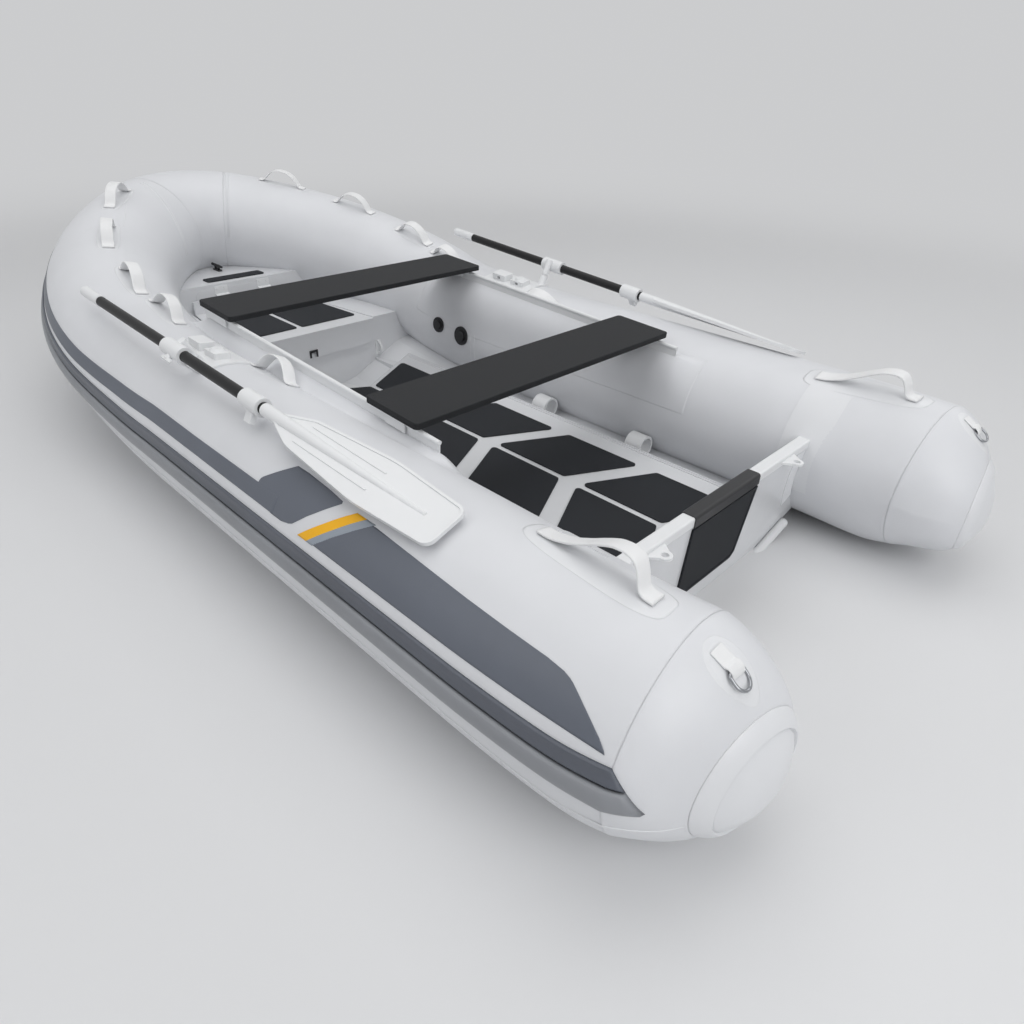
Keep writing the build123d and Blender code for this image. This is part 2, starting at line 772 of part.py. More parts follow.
# shallow raised panel on the riser behind the hinges
riser_plan = SlotOverall(2 * riser_panel_half, step_top_z - lid_top_z - 2 * riser_margin)
riser_place = Plane((riser_x, 0, (step_top_z + lid_top_z) / 2), x_dir=(0, 1, 0), z_dir=(-1, 0, 0))
riser_panel = extrude(riser_place * riser_plan, amount=riser_panel_sheet)
hinge_room = block((0, hinge_y - hinge_length / 2, 0), (far, hinge_y + hinge_length / 2, far))
bow_deck += riser_panel - hinge_room - mirror(hinge_room, about=Plane.XZ)
save("bow_deck", bow_deck)

# the lid: a sheet with an apron at its aft edge and an upstand at its fore edge
lid_fore_x = hinge_x - hinge_setback
lid_plan = polygon([
    (apron_aft_x, -lid_half_aft), (lid_fore_x, -lid_half_fore),
    (lid_fore_x, lid_half_fore), (apron_aft_x, lid_half_aft),
])
lid = extrude(Pos(0, 0, lid_underside) * lid_plan, amount=lid_sheet)
apron_plan = polygon([
    (-lid_half_aft, lid_underside), (-lid_half_aft, apron_foot_z),
    (lid_half_aft, apron_foot_z), (lid_half_aft, lid_underside),
])
apron_plan = fillet(apron_plan.vertices().group_by(Axis.Y)[0], apron_corner)
lid += extrude(Plane((apron_aft_x, 0, 0), x_dir=(0, 1, 0), z_dir=(1, 0, 0)) * apron_plan,
               amount=apron_sheet)
upstand_top_z = hinge_z - hinge_radius
lid += block((lid_fore_x - lid_sheet, -lid_half_fore, lid_underside),
             (lid_fore_x, lid_half_fore, upstand_top_z))
latch_notch = block((apron_aft_x - 9, -latch_slot / 2, apron_foot_z - 1),
                    (apron_aft_x + apron_sheet + 1, latch_slot / 2, apron_foot_z + latch_rise))
lid -= latch_notch
save("locker_lid", lid)

latch_half = latch_slot / 2 + latch_rim
latch_block = block((apron_aft_x - latch_sheet, -latch_half, apron_foot_z + 2),
                    (apron_aft_x, latch_half, apron_foot_z + latch_rise + latch_rim))
save("lid_latch", latch_block - latch_notch)

lid_pad = polygon([
    (lid_pad_aft_x, lid_pad_inner), (lid_pad_fore_x, lid_pad_inner),
    (lid_pad_fore_x, lid_pad_outer_fore), (lid_pad_aft_x, lid_pad_outer_aft),
], pad_corner)
save("lid_pads", both(extrude(Pos(0, 0, lid_top_z) * lid_pad, amount=pad_thickness)))

# two butt hinges: outer knuckles on the lid, middle knuckle and pin on the riser
fixed_leaves = []
moving_leaves = []
third = hinge_length / 3


def knuckle(low, high, radius):
    return Pos(hinge_x, 0, hinge_z) * extrude(
        Plane((0, low, 0), x_dir=(1, 0, 0), z_dir=(0, 1, 0)) * Circle(radius),
        amount=high - low)


for centre_y in (hinge_y, -hinge_y):
    low = centre_y - hinge_length / 2
    high = centre_y + hinge_length / 2
    leaf_x = riser_x - hinge_sheet
    fixed = block((leaf_x, low, hinge_z - 1.5 * hinge_radius),
                  (riser_x, high, step_top_z - deck_sheet))
    fixed += block((hinge_x, low + third + 1, hinge_z - 3), (leaf_x, high - third - 1, hinge_z + 3))
    fixed += knuckle(low + third + 1, high - third - 1, hinge_radius)
    fixed += knuckle(low, high, hinge_pin_radius)
    for bolt_y in (centre_y - hinge_bolt_y, centre_y + hinge_bolt_y):
        head = Plane((leaf_x, bolt_y, hinge_bolt_z), x_dir=(0, 1, 0), z_dir=(-1, 0, 0))
        fixed += extrude(head * Circle(hinge_bolt_radius), amount=3)
    fixed_leaves.append(fixed)
    moving = knuckle(low, low + third, hinge_radius) + knuckle(high - third, high, hinge_radius)
    moving += block((lid_fore_x - lid_sheet, low, upstand_top_z),
                    (hinge_x, high, upstand_top_z + hinge_sheet))
    moving -= knuckle(low - 1, high + 1, hinge_pin_radius + pin_slack)
    moving -= knuckle(low + third, high - third, hinge_radius + pin_slack + 0.5)
    moving_leaves.append(moving)
save("hinge_fixed", fixed_leaves)
save("hinge_moving", moving_leaves)

step_pad = fillet(Rectangle(step_pad_depth, step_pad_length).vertices(), pad_corner)
save("step_pad", extrude(Pos(step_pad_x, 0, step_top_z) * step_pad, amount=pad_thickness))

# horn cleat on the step, its fore horn just short of the bow tube
horn_rise = step_top_z + cleat_height - nose_axis.Z
bow_skin_x = nose_axis.X - math.sqrt(tube_radius ** 2 - horn_rise ** 2)
cleat_x = bow_skin_x - cleat_gap - cleat_length / 2
cleat_foot = SlotOverall(2 * cleat_post + 6 * cleat_radius, 4 * cleat_radius)
cleat = extrude(Pos(cleat_x, 0, step_top_z) * cleat_foot, amount=cleat_radius * 0.7)
for post_x in (cleat_x - cleat_post, cleat_x + cleat_post):
    cleat += Pos(post_x, 0, step_top_z) * Cylinder(
        cleat_radius, cleat_height, align=(Align.CENTER, Align.CENTER, Align.MIN))
cleat_bar = Pos(cleat_x, 0, step_top_z + cleat_height) * Rot(0, 90, 0) * Cylinder(
    cleat_radius, cleat_length)
cleat_bar = fillet(cleat_bar.edges(), 0.7 * cleat_radius)
save("bow_cleat", cleat + cleat_bar)

# pad-eye on the locker's aft face
padeye_z = (padeye_low_z + padeye_high_z) / 2
padeye_x = locker_face_x - padeye_sheet
padeye = block((padeye_x, -padeye_y - padeye_half, padeye_low_z),
               (locker_face_x, -padeye_y + padeye_half, padeye_high_z))
padeye_ring = Pos(padeye_x, -padeye_y, padeye_z) * Rot(90, 0, 0) * Torus(
    padeye_radius, padeye_wire)
padeye += padeye_ring & block((-far, -beam, 0), (padeye_x, 0, far))
save("locker_padeye", padeye)

# the hull gives way to the deck, the bulkhead and the lid
hull = hull_body - locker_face - bow_deck - lid_well
hull = hull.solids().sort_by(SortBy.VOLUME)[-1]
save("hull", hull)

# ---------------------------------------------------------------- keel, lip and bow eye
keel_strip = loft([
    Plane((row[0], 0, row[1]), x_dir=(0, 1, 0), z_dir=(1, 0, 0))
    * Rectangle(2 * keel_half, 2 * keel_depth) for row in hull_table[:5]
], ruled=True) - hull_form - behind_transom
save("keel_strip", keel_strip)

lip_place = Plane(transom_back.origin - transom_back.z_dir * lip_radius,
                  x_dir=(0, 1, 0), z_dir=transom_back.z_dir)
lip_points = [lip_place.from_local_coords(Vector(y, rise, 0)) for y, rise in face_half[:3]]
lip = Part()
for start, end in zip(lip_points, lip_points[1:]):
    ahead = (end - start).normalized()
    lip += extrude(Plane(start, z_dir=ahead) * Circle(lip_radius), amount=(end - start).length)
    lip += Pos(*end) * Sphere(lip_radius)
lip = lip - block((-far, -beam, -far), (far, 0, far))
lip = lip + mirror(lip, about=Plane.XZ)
save("transom_lip", lip - snug_tubes)

eye_ring = Pos(bow_eye_x, 0, bow_eye_z) * Rot(90, 0, 0) * Torus(bow_eye_radius, bow_eye_wire)
eye_ring = (eye_ring - hull_form).solids().sort_by(SortBy.VOLUME)[-1]
save("bow_eye", eye_ring)

# tapes on the tubes fore and aft of the transom, and flanges of the same fabric on it
tape = carry(band(strake_inner, strake_inner + patch_sheet, tape_low, tape_high),
             transom_x - transom_thickness - tape_width - stern_seam_x,
             transom_x + tape_width - stern_seam_x)
tape = tape - hull_body - transom_panel - transom_bar
flange_root = strake_inner + patch_sheet
flange_place = Plane(transom_back.from_local_coords(
    Vector(half_spacing, (tube_axis_z - bar_foot_z) / math.cos(rake), 0)),
    x_dir=(0, 1, 0), z_dir=transom_face.z_dir)
flange = extrude(flange_place * band(flange_root + 1, flange_root + flange_reach, flange_low,
                                     flange_high), amount=-flange_sheet)
flange = flange - tape - block((-far, -beam, bar_foot_z), (far, beam, far))
save("transom_tapes", both(tape) + both(flange))

# ---------------------------------------------------------------- webbing loops
loop_bed = carry(Circle(tube_radius + 2 * bond_gap + patch_sheet), 0, side_length)


# sheet on the tube's skin with the outline of a plan drawn on the tangent plane
def shaped_patch(along, angle, plan, sheet):
    reach = plan.bounding_box().size
    shell = patch(along, reach.X + 4, angle, 2.5 * reach.Y, sheet)
    core = extrude(on_tube(along, angle, -tube_radius / 2) * plan, amount=tube_radius)
    return shell & core


def strap_on_skin(along, angle, side, width):
    place = on_tube(along, angle, 2 * bond_gap + patch_sheet)
    upright = Plane(place.origin, x_dir=place.x_dir, z_dir=place.y_dir * -1)
    return extrude(upright * side, amount=width / 2, both=True) - loop_bed


loop_side = strap_side(loop_span, loop_foot, loop_height, loop_crown, loop_lead, loop_corner,
                       loop_sheet)
loop_plan = SlotOverall(loop_span + 2 * loop_foot + 2 * patch_margin,
                        loop_width + 2 * patch_margin)
loop_straps = [strap_on_skin(along, angle, loop_side, loop_width) for along, angle in loop_table]
loop_patches = [shaped_patch(along, angle, loop_plan, patch_sheet)
                for along, angle in loop_table]

# ---------------------------------------------------------------- stern handles
handle_side = strap_side(handle_length, handle_foot, handle_height, handle_crown, handle_lead,
                         handle_corner, handle_sheet)
handle = strap_on_skin(handle_along, handle_angle, handle_side, handle_width)
handle_plan = SlotOverall(handle_length + 2 * handle_foot + 2 * patch_margin,
                          handle_width + 4 * patch_margin)
handle_patch = shaped_patch(handle_along, handle_angle, handle_plan, patch_sheet)
for side, flip in (("port", False), ("starboard", True)):
    for name, pieces in (("grab_loops", loop_straps), ("stern_handle", [handle]),
                         ("tube_patches", loop_patches + [handle_patch])):
        if flip:
            pieces = [mirror(piece, about=Plane.XZ) for piece in pieces]
        save(f"{name}_{side}", pieces)

# ---------------------------------------------------------------- rings and valves
cone_snug = stern_turned(cone_outline(1.4 * bond_gap))
cone_curve = cone_outline(0)[0]
seat = cone_curve @ stern_ring_share
fall = cone_curve % stern_ring_share
seat_bearing = math.radians(stern_ring_angle)
seat_out = Vector(0, math.cos(seat_bearing), math.sin(seat_bearing))
cone_aft = Vector(fall.X, 0, 0) + seat_out * fall.Y
cone_normal = Vector(fall.Y, 0, 0) - seat_out * fall.X
ring_seat = Vector(stern_seam_x + seat.X, half_spacing, tube_axis_z) + seat_out * seat.Y

# the D lies along the cone's skin: x up the cone to the strap, z off the skin
ring_place = Plane(ring_seat + cone_normal * stern_ring_lift, x_dir=cone_aft * -1,
                   z_dir=cone_normal)


def d_ring(wire):
    tip = stern_ring_leg + stern_ring_half
    bend = stern_ring_half - 0.5
    path = FilletPolyline(
        (0, -stern_ring_half), (0, stern_ring_half), (-tip, stern_ring_half),
        (-tip, -stern_ring_half), radius=[stern_ring_bend, stern_ring_bend, bend, bend], close=True)
    start = Plane(path @ 0, z_dir=path % 0)
    return ring_place * sweep(start * Circle(wire), path=path)


strap = ring_place * (Box(
    stern_strap_length, stern_strap_width, stern_strap_sheet,
    align=(Align.MIN, Align.CENTER, Align.CENTER)))
strap += ring_place * (Rot(90, 0, 0) * Cylinder(stern_ring_wire + 3, stern_strap_width))
strap += ring_place * (Pos(stern_strap_length / 2, 0, -stern_ring_lift / 2) * Box(
    stern_strap_length, stern_strap_width, stern_ring_lift))
strap -= d_ring(stern_ring_wire + bond_gap)
strap = strap - cone_snug - carry(snug_profile, 0, stern_strap_length)
strap = strap.solids().sort_by(SortBy.VOLUME)[-1]
ring_straps = both(strap)
save("stern_rings", both(d_ring(stern_ring_wire)))

valves = []
for along, radius in valve_table:
    body = extrude(on_tube(along, valve_angle, -radius / 4) * Circle(radius),
                   amount=radius / 4 + 5)
    knob = extrude(on_tube(along, valve_angle, 5) * Circle(radius * 0.62), amount=7)
    knob = fillet(knob.edges().group_by(SortBy.LENGTH)[-1], 2)
    valves += both(body + knob - snug_side)
save("valves", valves)

tie_rings = []
for ring_x in tie_ring_table:
    ring = Circle(tie_ring_radius) - Circle(tie_ring_radius - tie_ring_wall)
    place = Plane((ring_x - tie_ring_length / 2, tie_ring_y, gutter_z + tie_ring_radius + bond_gap),
                  x_dir=(0, 1, 0), z_dir=(1, 0, 0))
    tie_rings += both(extrude(place * ring, amount=tie_ring_length) - snug_side)
    ring_straps += both(patch(ring_x - stern_seam_x, tie_patch_length, tie_patch_angle,
                              tie_patch_width, patch_sheet))
save("tie_rings", tie_rings)
save("ring_straps", ring_straps)

# ---------------------------------------------------------------- oars and rowlocks
oar_dir = Vector(1, oar_drift, oar_rise).normalized()
lean = math.radians(oar_lean)
pin_dir = Vector(0, math.sin(lean), math.cos(lean))
pivot_bearing = math.radians(pivot_angle)
pivot = Vector(pivot_x, half_spacing + tube_radius * math.cos(pivot_bearing),
               tube_axis_z + tube_radius * math.sin(pivot_bearing))


def oar_plane(offset):
    origin = Vector(oar_x, oar_y, oar_z) + oar_dir * offset
    across = Vector(0, 0, 1).cross(oar_dir).normalized()
    return Plane(origin, x_dir=across, z_dir=oar_dir)


def oar_rod(begin, end, radius):
    return extrude(oar_plane(begin) * Circle(radius), amount=end - begin)


def pin_rod(begin, end, radius):
    return extrude(Plane(pivot + pin_dir * begin, z_dir=pin_dir) * Circle(radius),
                   amount=end - begin)


grip = oar_rod(grip_aft, grip_fore, grip_radius)
grip = fillet(grip.edges().sort_by(Axis.X)[-1], 6)
shaft = oar_rod(neck_fore, grip_aft, shaft_radius)
collar = oar_rod(clip_at, clip_at + clip_length, clip_radius)
clip_plane = oar_plane(clip_at + clip_length / 2)
collar += Plane(clip_plane.origin, x_dir=oar_dir, z_dir=Vector(0, -0.5, 1)) * Box(
    clip_lug, clip_lug_width, clip_radius + clip_lug,
    align=(Align.CENTER, Align.CENTER, Align.MAX))
collar -= oar_rod(neck_fore - 1, grip_aft, shaft_radius + bond_gap)

blade_bearing = math.radians(blade_tilt)
blade_up = Vector(0, math.sin(blade_bearing), math.cos(blade_bearing))
blade_up = (blade_up - oar_dir * blade_up.dot(oar_dir)).normalized()
blade_plane = Plane(oar_plane(0).origin - blade_up * (blade_sheet / 2), x_dir=oar_dir,
                    z_dir=blade_up)
blade_plan = polygon([
    (blade_root, -blade_root_half), (blade_shoulder, -blade_shoulder_half),
    (blade_wide, -blade_wide_half), (blade_tip, -blade_tip_half),
    (blade_tip, blade_tip_half), (blade_wide, blade_wide_half),
    (blade_shoulder, blade_shoulder_half), (blade_root, blade_root_half),
])
plan_ends = blade_plan.vertices().group_by(Axis.X)
blade_plan = fillet(plan_ends[0], blade_corner)
for station, bend in ((blade_wide, blade_wide_bend), (blade_shoulder, blade_shoulder_bend)):
    turns = blade_plan.vertices().filter_by(lambda point: abs(point.X - station) < 1)
    blade_plan = fillet(turns, bend)
blade = extrude(blade_plane * blade_plan, amount=blade_sheet)

# both faces are dished inside a rim, with a rib each side of the spine
dish_plan = offset(blade_plan, -blade_rim)
rib_plan = Rectangle(blade_shoulder - blade_wide, blade_rib)
for side_y in (blade_rib_y, -blade_rib_y):
    dish_plan -= Pos((blade_shoulder + blade_wide) / 2 - blade_rim, side_y) * rib_plan
for low, high in ((-1, blade_dish), (blade_sheet - blade_dish, blade_sheet + 1)):
    blade -= extrude(blade_plane * Pos(0, 0, low) * dish_plan, amount=high - low)
blade += oar_rod(blade_root, neck_fore, grip_radius)
blade += loft([oar_plane(blade_root) * Circle(grip_radius),
               oar_plane(blade_tip + blade_spine_end) * Circle(blade_sheet * 0.55)])

# sleeve round the shaft with the lug and pin that turn in the base's socket
clamp = oar_rod(-clamp_length / 2, clamp_length / 2, clamp_radius)
clamp += pin_rod(lug_foot, lug_top, lug_radius)
clamp += pin_rod(pin_foot, lug_top, pivot_radius)
clamp -= oar_rod(neck_fore - 1, grip_aft, shaft_radius + bond_gap)
clamp = clamp.solids().sort_by(SortBy.VOLUME)[-1]
knob_side = Vector(0, math.cos(lean), -math.sin(lean))
knob_at = oar_plane(0).origin + knob_side * (clamp_radius - 3)
knob = extrude(Plane(knob_at, z_dir=knob_side) * Circle(9), amount=12)
wing = extrude(Plane(knob_at + knob_side * 8, x_dir=oar_dir, z_dir=knob_side)
               * SlotOverall(44, 10), amount=9)
clamp += knob - oar_rod(neck_fore - 1, grip_aft, clamp_radius - 6) + wing

base_inner = tube_radius + bond_gap
base_band = band(base_inner, base_inner + base_sheet, base_low_angle, base_high_angle)
base = carry(base_band, base_aft_x - stern_seam_x, base_fore_x - stern_seam_x)
base += pin_rod(-20, socket_top, lug_radius + 2)
for block_x, block_length, block_height in base_blocks:
    place = on_tube(block_x - stern_seam_x, base_block_angle, base_sheet - 2)
    lump = place * Box(block_length, base_block_width, block_height,
                       align=(Align.CENTER, Align.CENTER, Align.MIN))
    lump = fillet(lump.edges().filter_by(lambda edge: edge.length < block_height + 1), 5)
    lump -= place * Pos(0, -base_block_width / 2, block_height / 2) * Box(
        base_slot, base_block_width / 2, block_height / 2)
    base += lump
dome_x, dome_length, dome_seat = base_blocks[0]
dome_place = on_tube(dome_x - stern_seam_x, base_block_angle, base_sheet - 2 + dome_seat)
dome = Cone(base_dome_radius, base_dome_radius * 0.7, base_dome_height,
            align=(Align.CENTER, Align.CENTER, Align.MIN))
base += dome_place * dome
base -= pin_rod(pin_foot - 2, socket_top + 1, pivot_radius + pin_slack)
base -= snug_side
base = base.solids().sort_by(SortBy.VOLUME)[-1]

save("rowlock_bases", both(base))
for name, piece in (("oar_grip", grip), ("oar_shaft", shaft), ("oar_collar", collar),
                    ("oar_blade", blade), ("oar_clamp", clamp)):
    for side, copy in zip(("port", "starboard"), both(piece)):
        save(f"{name}_{side}", copy)
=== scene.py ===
import math
import bmesh
import bpy
import numpy as np
from mathutils import Matrix


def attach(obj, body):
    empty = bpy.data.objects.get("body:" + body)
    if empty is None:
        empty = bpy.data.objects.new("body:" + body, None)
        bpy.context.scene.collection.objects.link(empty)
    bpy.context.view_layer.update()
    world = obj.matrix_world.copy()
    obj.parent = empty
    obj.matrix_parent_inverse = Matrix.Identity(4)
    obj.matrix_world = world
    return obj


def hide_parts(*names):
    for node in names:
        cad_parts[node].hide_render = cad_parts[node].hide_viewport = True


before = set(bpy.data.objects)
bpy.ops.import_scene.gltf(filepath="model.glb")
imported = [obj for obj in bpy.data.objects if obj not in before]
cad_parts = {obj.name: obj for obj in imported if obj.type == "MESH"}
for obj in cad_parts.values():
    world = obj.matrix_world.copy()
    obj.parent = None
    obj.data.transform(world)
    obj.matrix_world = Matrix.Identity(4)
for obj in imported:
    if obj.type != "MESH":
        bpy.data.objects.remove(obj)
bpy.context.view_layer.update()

# camera, floor and lights
viewPoint = {"place": (-1.8953, 1.4114, 1.1584), "yaw": -0.8165, "pitch": -0.5631,
             "roll": 0.0379, "lens": 24.996}


def makeCamera(values):
    # looks along yaw and pitch, then turns about its own axis by roll
    y, p, r = values["yaw"], values["pitch"], values["roll"]
    ahead = np.array([math.cos(p) * math.cos(y), math.cos(p) * math.sin(y), math.sin(p)])
    right = np.cross(ahead, [0, 0, 1])
    right /= np.linalg.norm(right)
    above = np.cross(right, ahead)
    tilted = right * math.cos(r) + above * math.sin(r)
    above = above * math.cos(r) - right * math.sin(r)
    camera = bpy.data.objects.new("camera", bpy.data.cameras.new("camera"))
    bpy.context.scene.collection.objects.link(camera)
    basis = np.eye(4)
    basis[:3, 0], basis[:3, 1], basis[:3, 2], basis[:3, 3] = tilted, above, -ahead, values["place"]
    camera.matrix_world = Matrix(basis.tolist())
    camera.data.lens = values["lens"]
    camera.data.sensor_width = 36
    camera.data.clip_start, camera.data.clip_end = 0.05, 100
    bpy.context.scene.camera = camera


makeCamera(viewPoint)
bpy.context.scene.view_settings.view_transform = "Standard"


def newMaterial(name):
    material = bpy.data.materials.new(name)
    material.use_nodes = True
    nodes, links = material.node_tree.nodes, material.node_tree.links
    shader = nodes["Principled BSDF"]
    return material, nodes, links, shader


# every finish: colour, roughness, gloss, size and depth of its grain, slow colour drift
finishes = {
    "tubeFabric": {"colour": (0.72, 0.73, 0.755), "rough": 0.40, "grain": 900, "depth": 0.00010,
                   "drift": 0.02, "sheen": 0.08},
    "seamFabric": {"colour": (0.76, 0.77, 0.79), "rough": 0.34, "grain": 900, "depth": 0.00008,
                   "drift": 0.02},
    "slateFabric": {"colour": (0.118, 0.132, 0.162), "rough": 0.38, "grain": 900,
                    "depth": 0.00008, "drift": 0.05},
    "amberFabric": {"colour": (0.95, 0.48, 0.0), "rough": 0.38, "grain": 900, "depth": 0.00008,
                    "drift": 0.03},
    "ashFabric": {"colour": (0.30, 0.34, 0.39), "rough": 0.38, "grain": 900, "depth": 0.00008,
                  "drift": 0.03},
    "strakeDark": {"colour": (0.095, 0.105, 0.128), "rough": 0.33, "grain": 1400,
                   "depth": 0.00006, "drift": 0.06},
    "strakeGrey": {"colour": (0.25, 0.26, 0.28), "rough": 0.33, "grain": 1400,
                   "depth": 0.00006, "drift": 0.05},
    "gelcoat": {"colour": (0.74, 0.75, 0.77), "rough": 0.24, "grain": 60, "depth": 0.00012,
                "drift": 0.02, "coat": 0.25},
    "whiteMoulding": {"colour": (0.80, 0.81, 0.82), "rough": 0.33, "grain": 2200,
                      "depth": 0.00004, "drift": 0.015},
    "whiteWebbing": {"colour": (0.84, 0.845, 0.85), "rough": 0.52, "grain": 1200,
                     "depth": 0.00018, "drift": 0.02, "sheen": 0.15},
    "deckFoam": {"colour": (0.021, 0.023, 0.027), "rough": 0.72, "grain": 1600,
                 "depth": 0.00022, "drift": 0.12, "gloss": 0.25},
    "seatBoard": {"colour": (0.017, 0.018, 0.020), "rough": 0.62, "grain": 1400,
                  "depth": 0.00022, "drift": 0.10, "gloss": 0.25},
    "shaftBlack": {"colour": (0.006, 0.006, 0.007), "rough": 0.40, "grain": 1500,
                   "depth": 0.00005, "drift": 0.05, "gloss": 0.35},
    "blackMoulding": {"colour": (0.014, 0.014, 0.016), "rough": 0.42, "grain": 1800,
                      "depth": 0.00006, "drift": 0.05},
    "polishedSteel": {"colour": (0.38, 0.39, 0.41), "rough": 0.14, "grain": 500,
                      "depth": 0.00003, "drift": 0.03, "metal": 1.0},
}


def makeFinish(name, values):
    # colour drifts slowly with one noise, a second fine noise gives the grain its height
    material, nodes, links, shader = newMaterial(name)
    place = nodes.new("ShaderNodeTexCoord")
    slow = nodes.new("ShaderNodeTexNoise")
    slow.inputs["Scale"].default_value = 5
    slow.inputs["Detail"].default_value = 4
    links.new(place.outputs["Object"], slow.inputs["Vector"])
    ramp = nodes.new("ShaderNodeValToRGB")
    dark = [c * (1 - values["drift"]) for c in values["colour"]]
    light = [min(1, c * (1 + values["drift"])) for c in values["colour"]]
    ramp.color_ramp.elements[0].position, ramp.color_ramp.elements[1].position = 0.35, 0.65
    ramp.color_ramp.elements[0].color = (*dark, 1)
    ramp.color_ramp.elements[1].color = (*light, 1)
    links.new(slow.outputs["Fac"], ramp.inputs["Fac"])
    links.new(ramp.outputs["Color"], shader.inputs["Base Color"])
    fine = nodes.new("ShaderNodeTexNoise")
    fine.inputs["Scale"].default_value = values["grain"]
    fine.inputs["Detail"].default_value = 3
    links.new(place.outputs["Object"], fine.inputs["Vector"])
    bump = nodes.new("ShaderNodeBump")
    bump.inputs["Strength"].default_value = 0.5
    bump.inputs["Distance"].default_value = values["depth"] * 4
    links.new(fine.outputs["Fac"], bump.inputs["Height"])
    links.new(bump.outputs["Normal"], shader.inputs["Normal"])
    wear = nodes.new("ShaderNodeMapRange")
    wear.inputs["To Min"].default_value = values["rough"] * 0.9
    wear.inputs["To Max"].default_value = values["rough"] * 1.12
    links.new(slow.outputs["Fac"], wear.inputs["Value"])
    links.new(wear.outputs["Result"], shader.inputs["Roughness"])
    shader.inputs["Metallic"].default_value = values.get("metal", 0)
    shader.inputs["Specular IOR Level"].default_value = values.get("gloss", 0.5)
    shader.inputs["Sheen Weight"].default_value = values.get("sheen", 0)
    shader.inputs["Coat Weight"].default_value = values.get("coat", 0)
    return material


look = {name: makeFinish(name, values) for name, values in finishes.items()}

stageValues = {"floor": (0.74, 0.745, 0.755), "flat": 5.0, "wall": 11.0, "height": 7.0,
               "haze": (0.60, 0.605, 0.615), "hazeFrom": 2.2, "hazeTo": 6.5}


def makeStage(values):
    # a dish: level out to its flat radius, then a quarter turn up to a round wall
    bend = np.linspace(0, math.pi / 2, 24)
    reach = values["wall"] - values["flat"]
    radius = np.concatenate([[0.001, values["flat"] * 0.5], values["flat"] + reach * np.sin(bend),
                             [values["wall"]]])
    height = np.concatenate([[0, 0], reach * (1 - np.cos(bend)), [reach + values["height"]]])
    turn = np.linspace(0, 2 * math.pi, 97)[:-1]
    grid = np.stack([radius[:, None] * np.cos(turn), radius[:, None] * np.sin(turn),
                     np.repeat(height[:, None], 96, 1)], -1)
    dish = gridObject("studioFloor", grid)
    material, nodes, links, shader = newMaterial("studioGrey")
    shader.inputs["Base Color"].default_value = (*values["floor"], 1)
    shader.inputs["Roughness"].default_value = 0.9
    shader.inputs["Specular IOR Level"].default_value = 0.1
    # with distance from the boat the dish fades to an even pale grey, seen by the camera,
    # in reflections and through glass, but giving no light
    place = nodes.new("ShaderNodeTexCoord")
    reach = nodes.new("ShaderNodeVectorMath")
    reach.operation = "LENGTH"
    links.new(place.outputs["Object"], reach.inputs[0])
    fade = nodes.new("ShaderNodeMapRange")
    fade.interpolation_type = "SMOOTHSTEP"
    fade.inputs["From Min"].default_value = values["hazeFrom"]
    fade.inputs["From Max"].default_value = values["hazeTo"]
    links.new(reach.outputs["Value"], fade.inputs["Value"])
    path = nodes.new("ShaderNodeLightPath")
    share = path.outputs["Is Camera Ray"]
    for ray in ("Is Glossy Ray", "Is Transmission Ray"):
        either = nodes.new("ShaderNodeMath")
        either.operation = "MAXIMUM"
        links.new(share, either.inputs[0])
        links.new(path.outputs[ray], either.inputs[1])
        share = either.outputs["Value"]
    amount = nodes.new("ShaderNodeMath")
    amount.operation = "MULTIPLY"
    links.new(share, amount.inputs[0])
    links.new(fade.outputs["Result"], amount.inputs[1])
    glow = nodes.new("ShaderNodeEmission")
    glow.inputs["Color"].default_value = (*values["haze"], 1)
    blend = nodes.new("ShaderNodeMixShader")
    links.new(amount.outputs["Value"], blend.inputs["Fac"])
    links.new(shader.outputs["BSDF"], blend.inputs[1])
    links.new(glow.outputs["Emission"], blend.inputs[2])
    links.new(blend.outputs["Shader"], nodes["Material Output"].inputs["Surface"])
    dish.data.materials.append(material)


def gridObject(name, grid):
    # neighbouring points of the grid make quads; every row closes on itself as a ring
    nU, nV = grid.shape[:2]
    i, j = np.meshgrid(np.arange(nU - 1), np.arange(nV), indexing="ij")
    i2, j2 = i + 1, (j + 1) % nV
    quads = np.stack([i * nV + j, i2 * nV + j, i2 * nV + j2, i * nV + j2], -1).reshape(-1, 4)
    uValue = np.stack([i, i + 1, i + 1, i], -1).reshape(-1) / (nU - 1)
    vValue = np.stack([j, j, j + 1, j + 1], -1).reshape(-1) / nV
    mesh = bpy.data.meshes.new(name)
    mesh.vertices.add(nU * nV)
    mesh.vertices.foreach_set("co", np.ascontiguousarray(grid, np.float32).ravel())
    mesh.loops.add(quads.size)
    mesh.loops.foreach_set("vertex_index", quads.astype(np.int32).ravel())
    mesh.polygons.add(len(quads))
    mesh.polygons.foreach_set("loop_start", np.arange(0, quads.size, 4, dtype=np.int32))
    mesh.update(calc_edges=True)
    layer = mesh.uv_layers.new(name="UVMap")
    layer.data.foreach_set("uv", np.stack([uValue, vValue], -1).astype(np.float32).ravel())
    weldMesh(mesh)
    return smoothObject(name, mesh)


def smoothObject(name, mesh):
    # an object in the scene from a mesh, shaded smooth
    mesh.polygons.foreach_set("use_smooth", np.full(len(mesh.polygons), True))
    thing = bpy.data.objects.new(name, mesh)
    bpy.context.scene.collection.objects.link(thing)
    return thing


def weldMesh(mesh):
    # joins points that coincide and turns every face outwards
    work = bmesh.new()
    work.from_mesh(mesh)
    bmesh.ops.remove_doubles(work, verts=work.verts, dist=1e-6)
    bmesh.ops.dissolve_degenerate(work, edges=work.edges, dist=1e-7)
    bmesh.ops.recalc_face_normals(work, faces=work.faces)
    work.to_mesh(mesh)
    work.free()


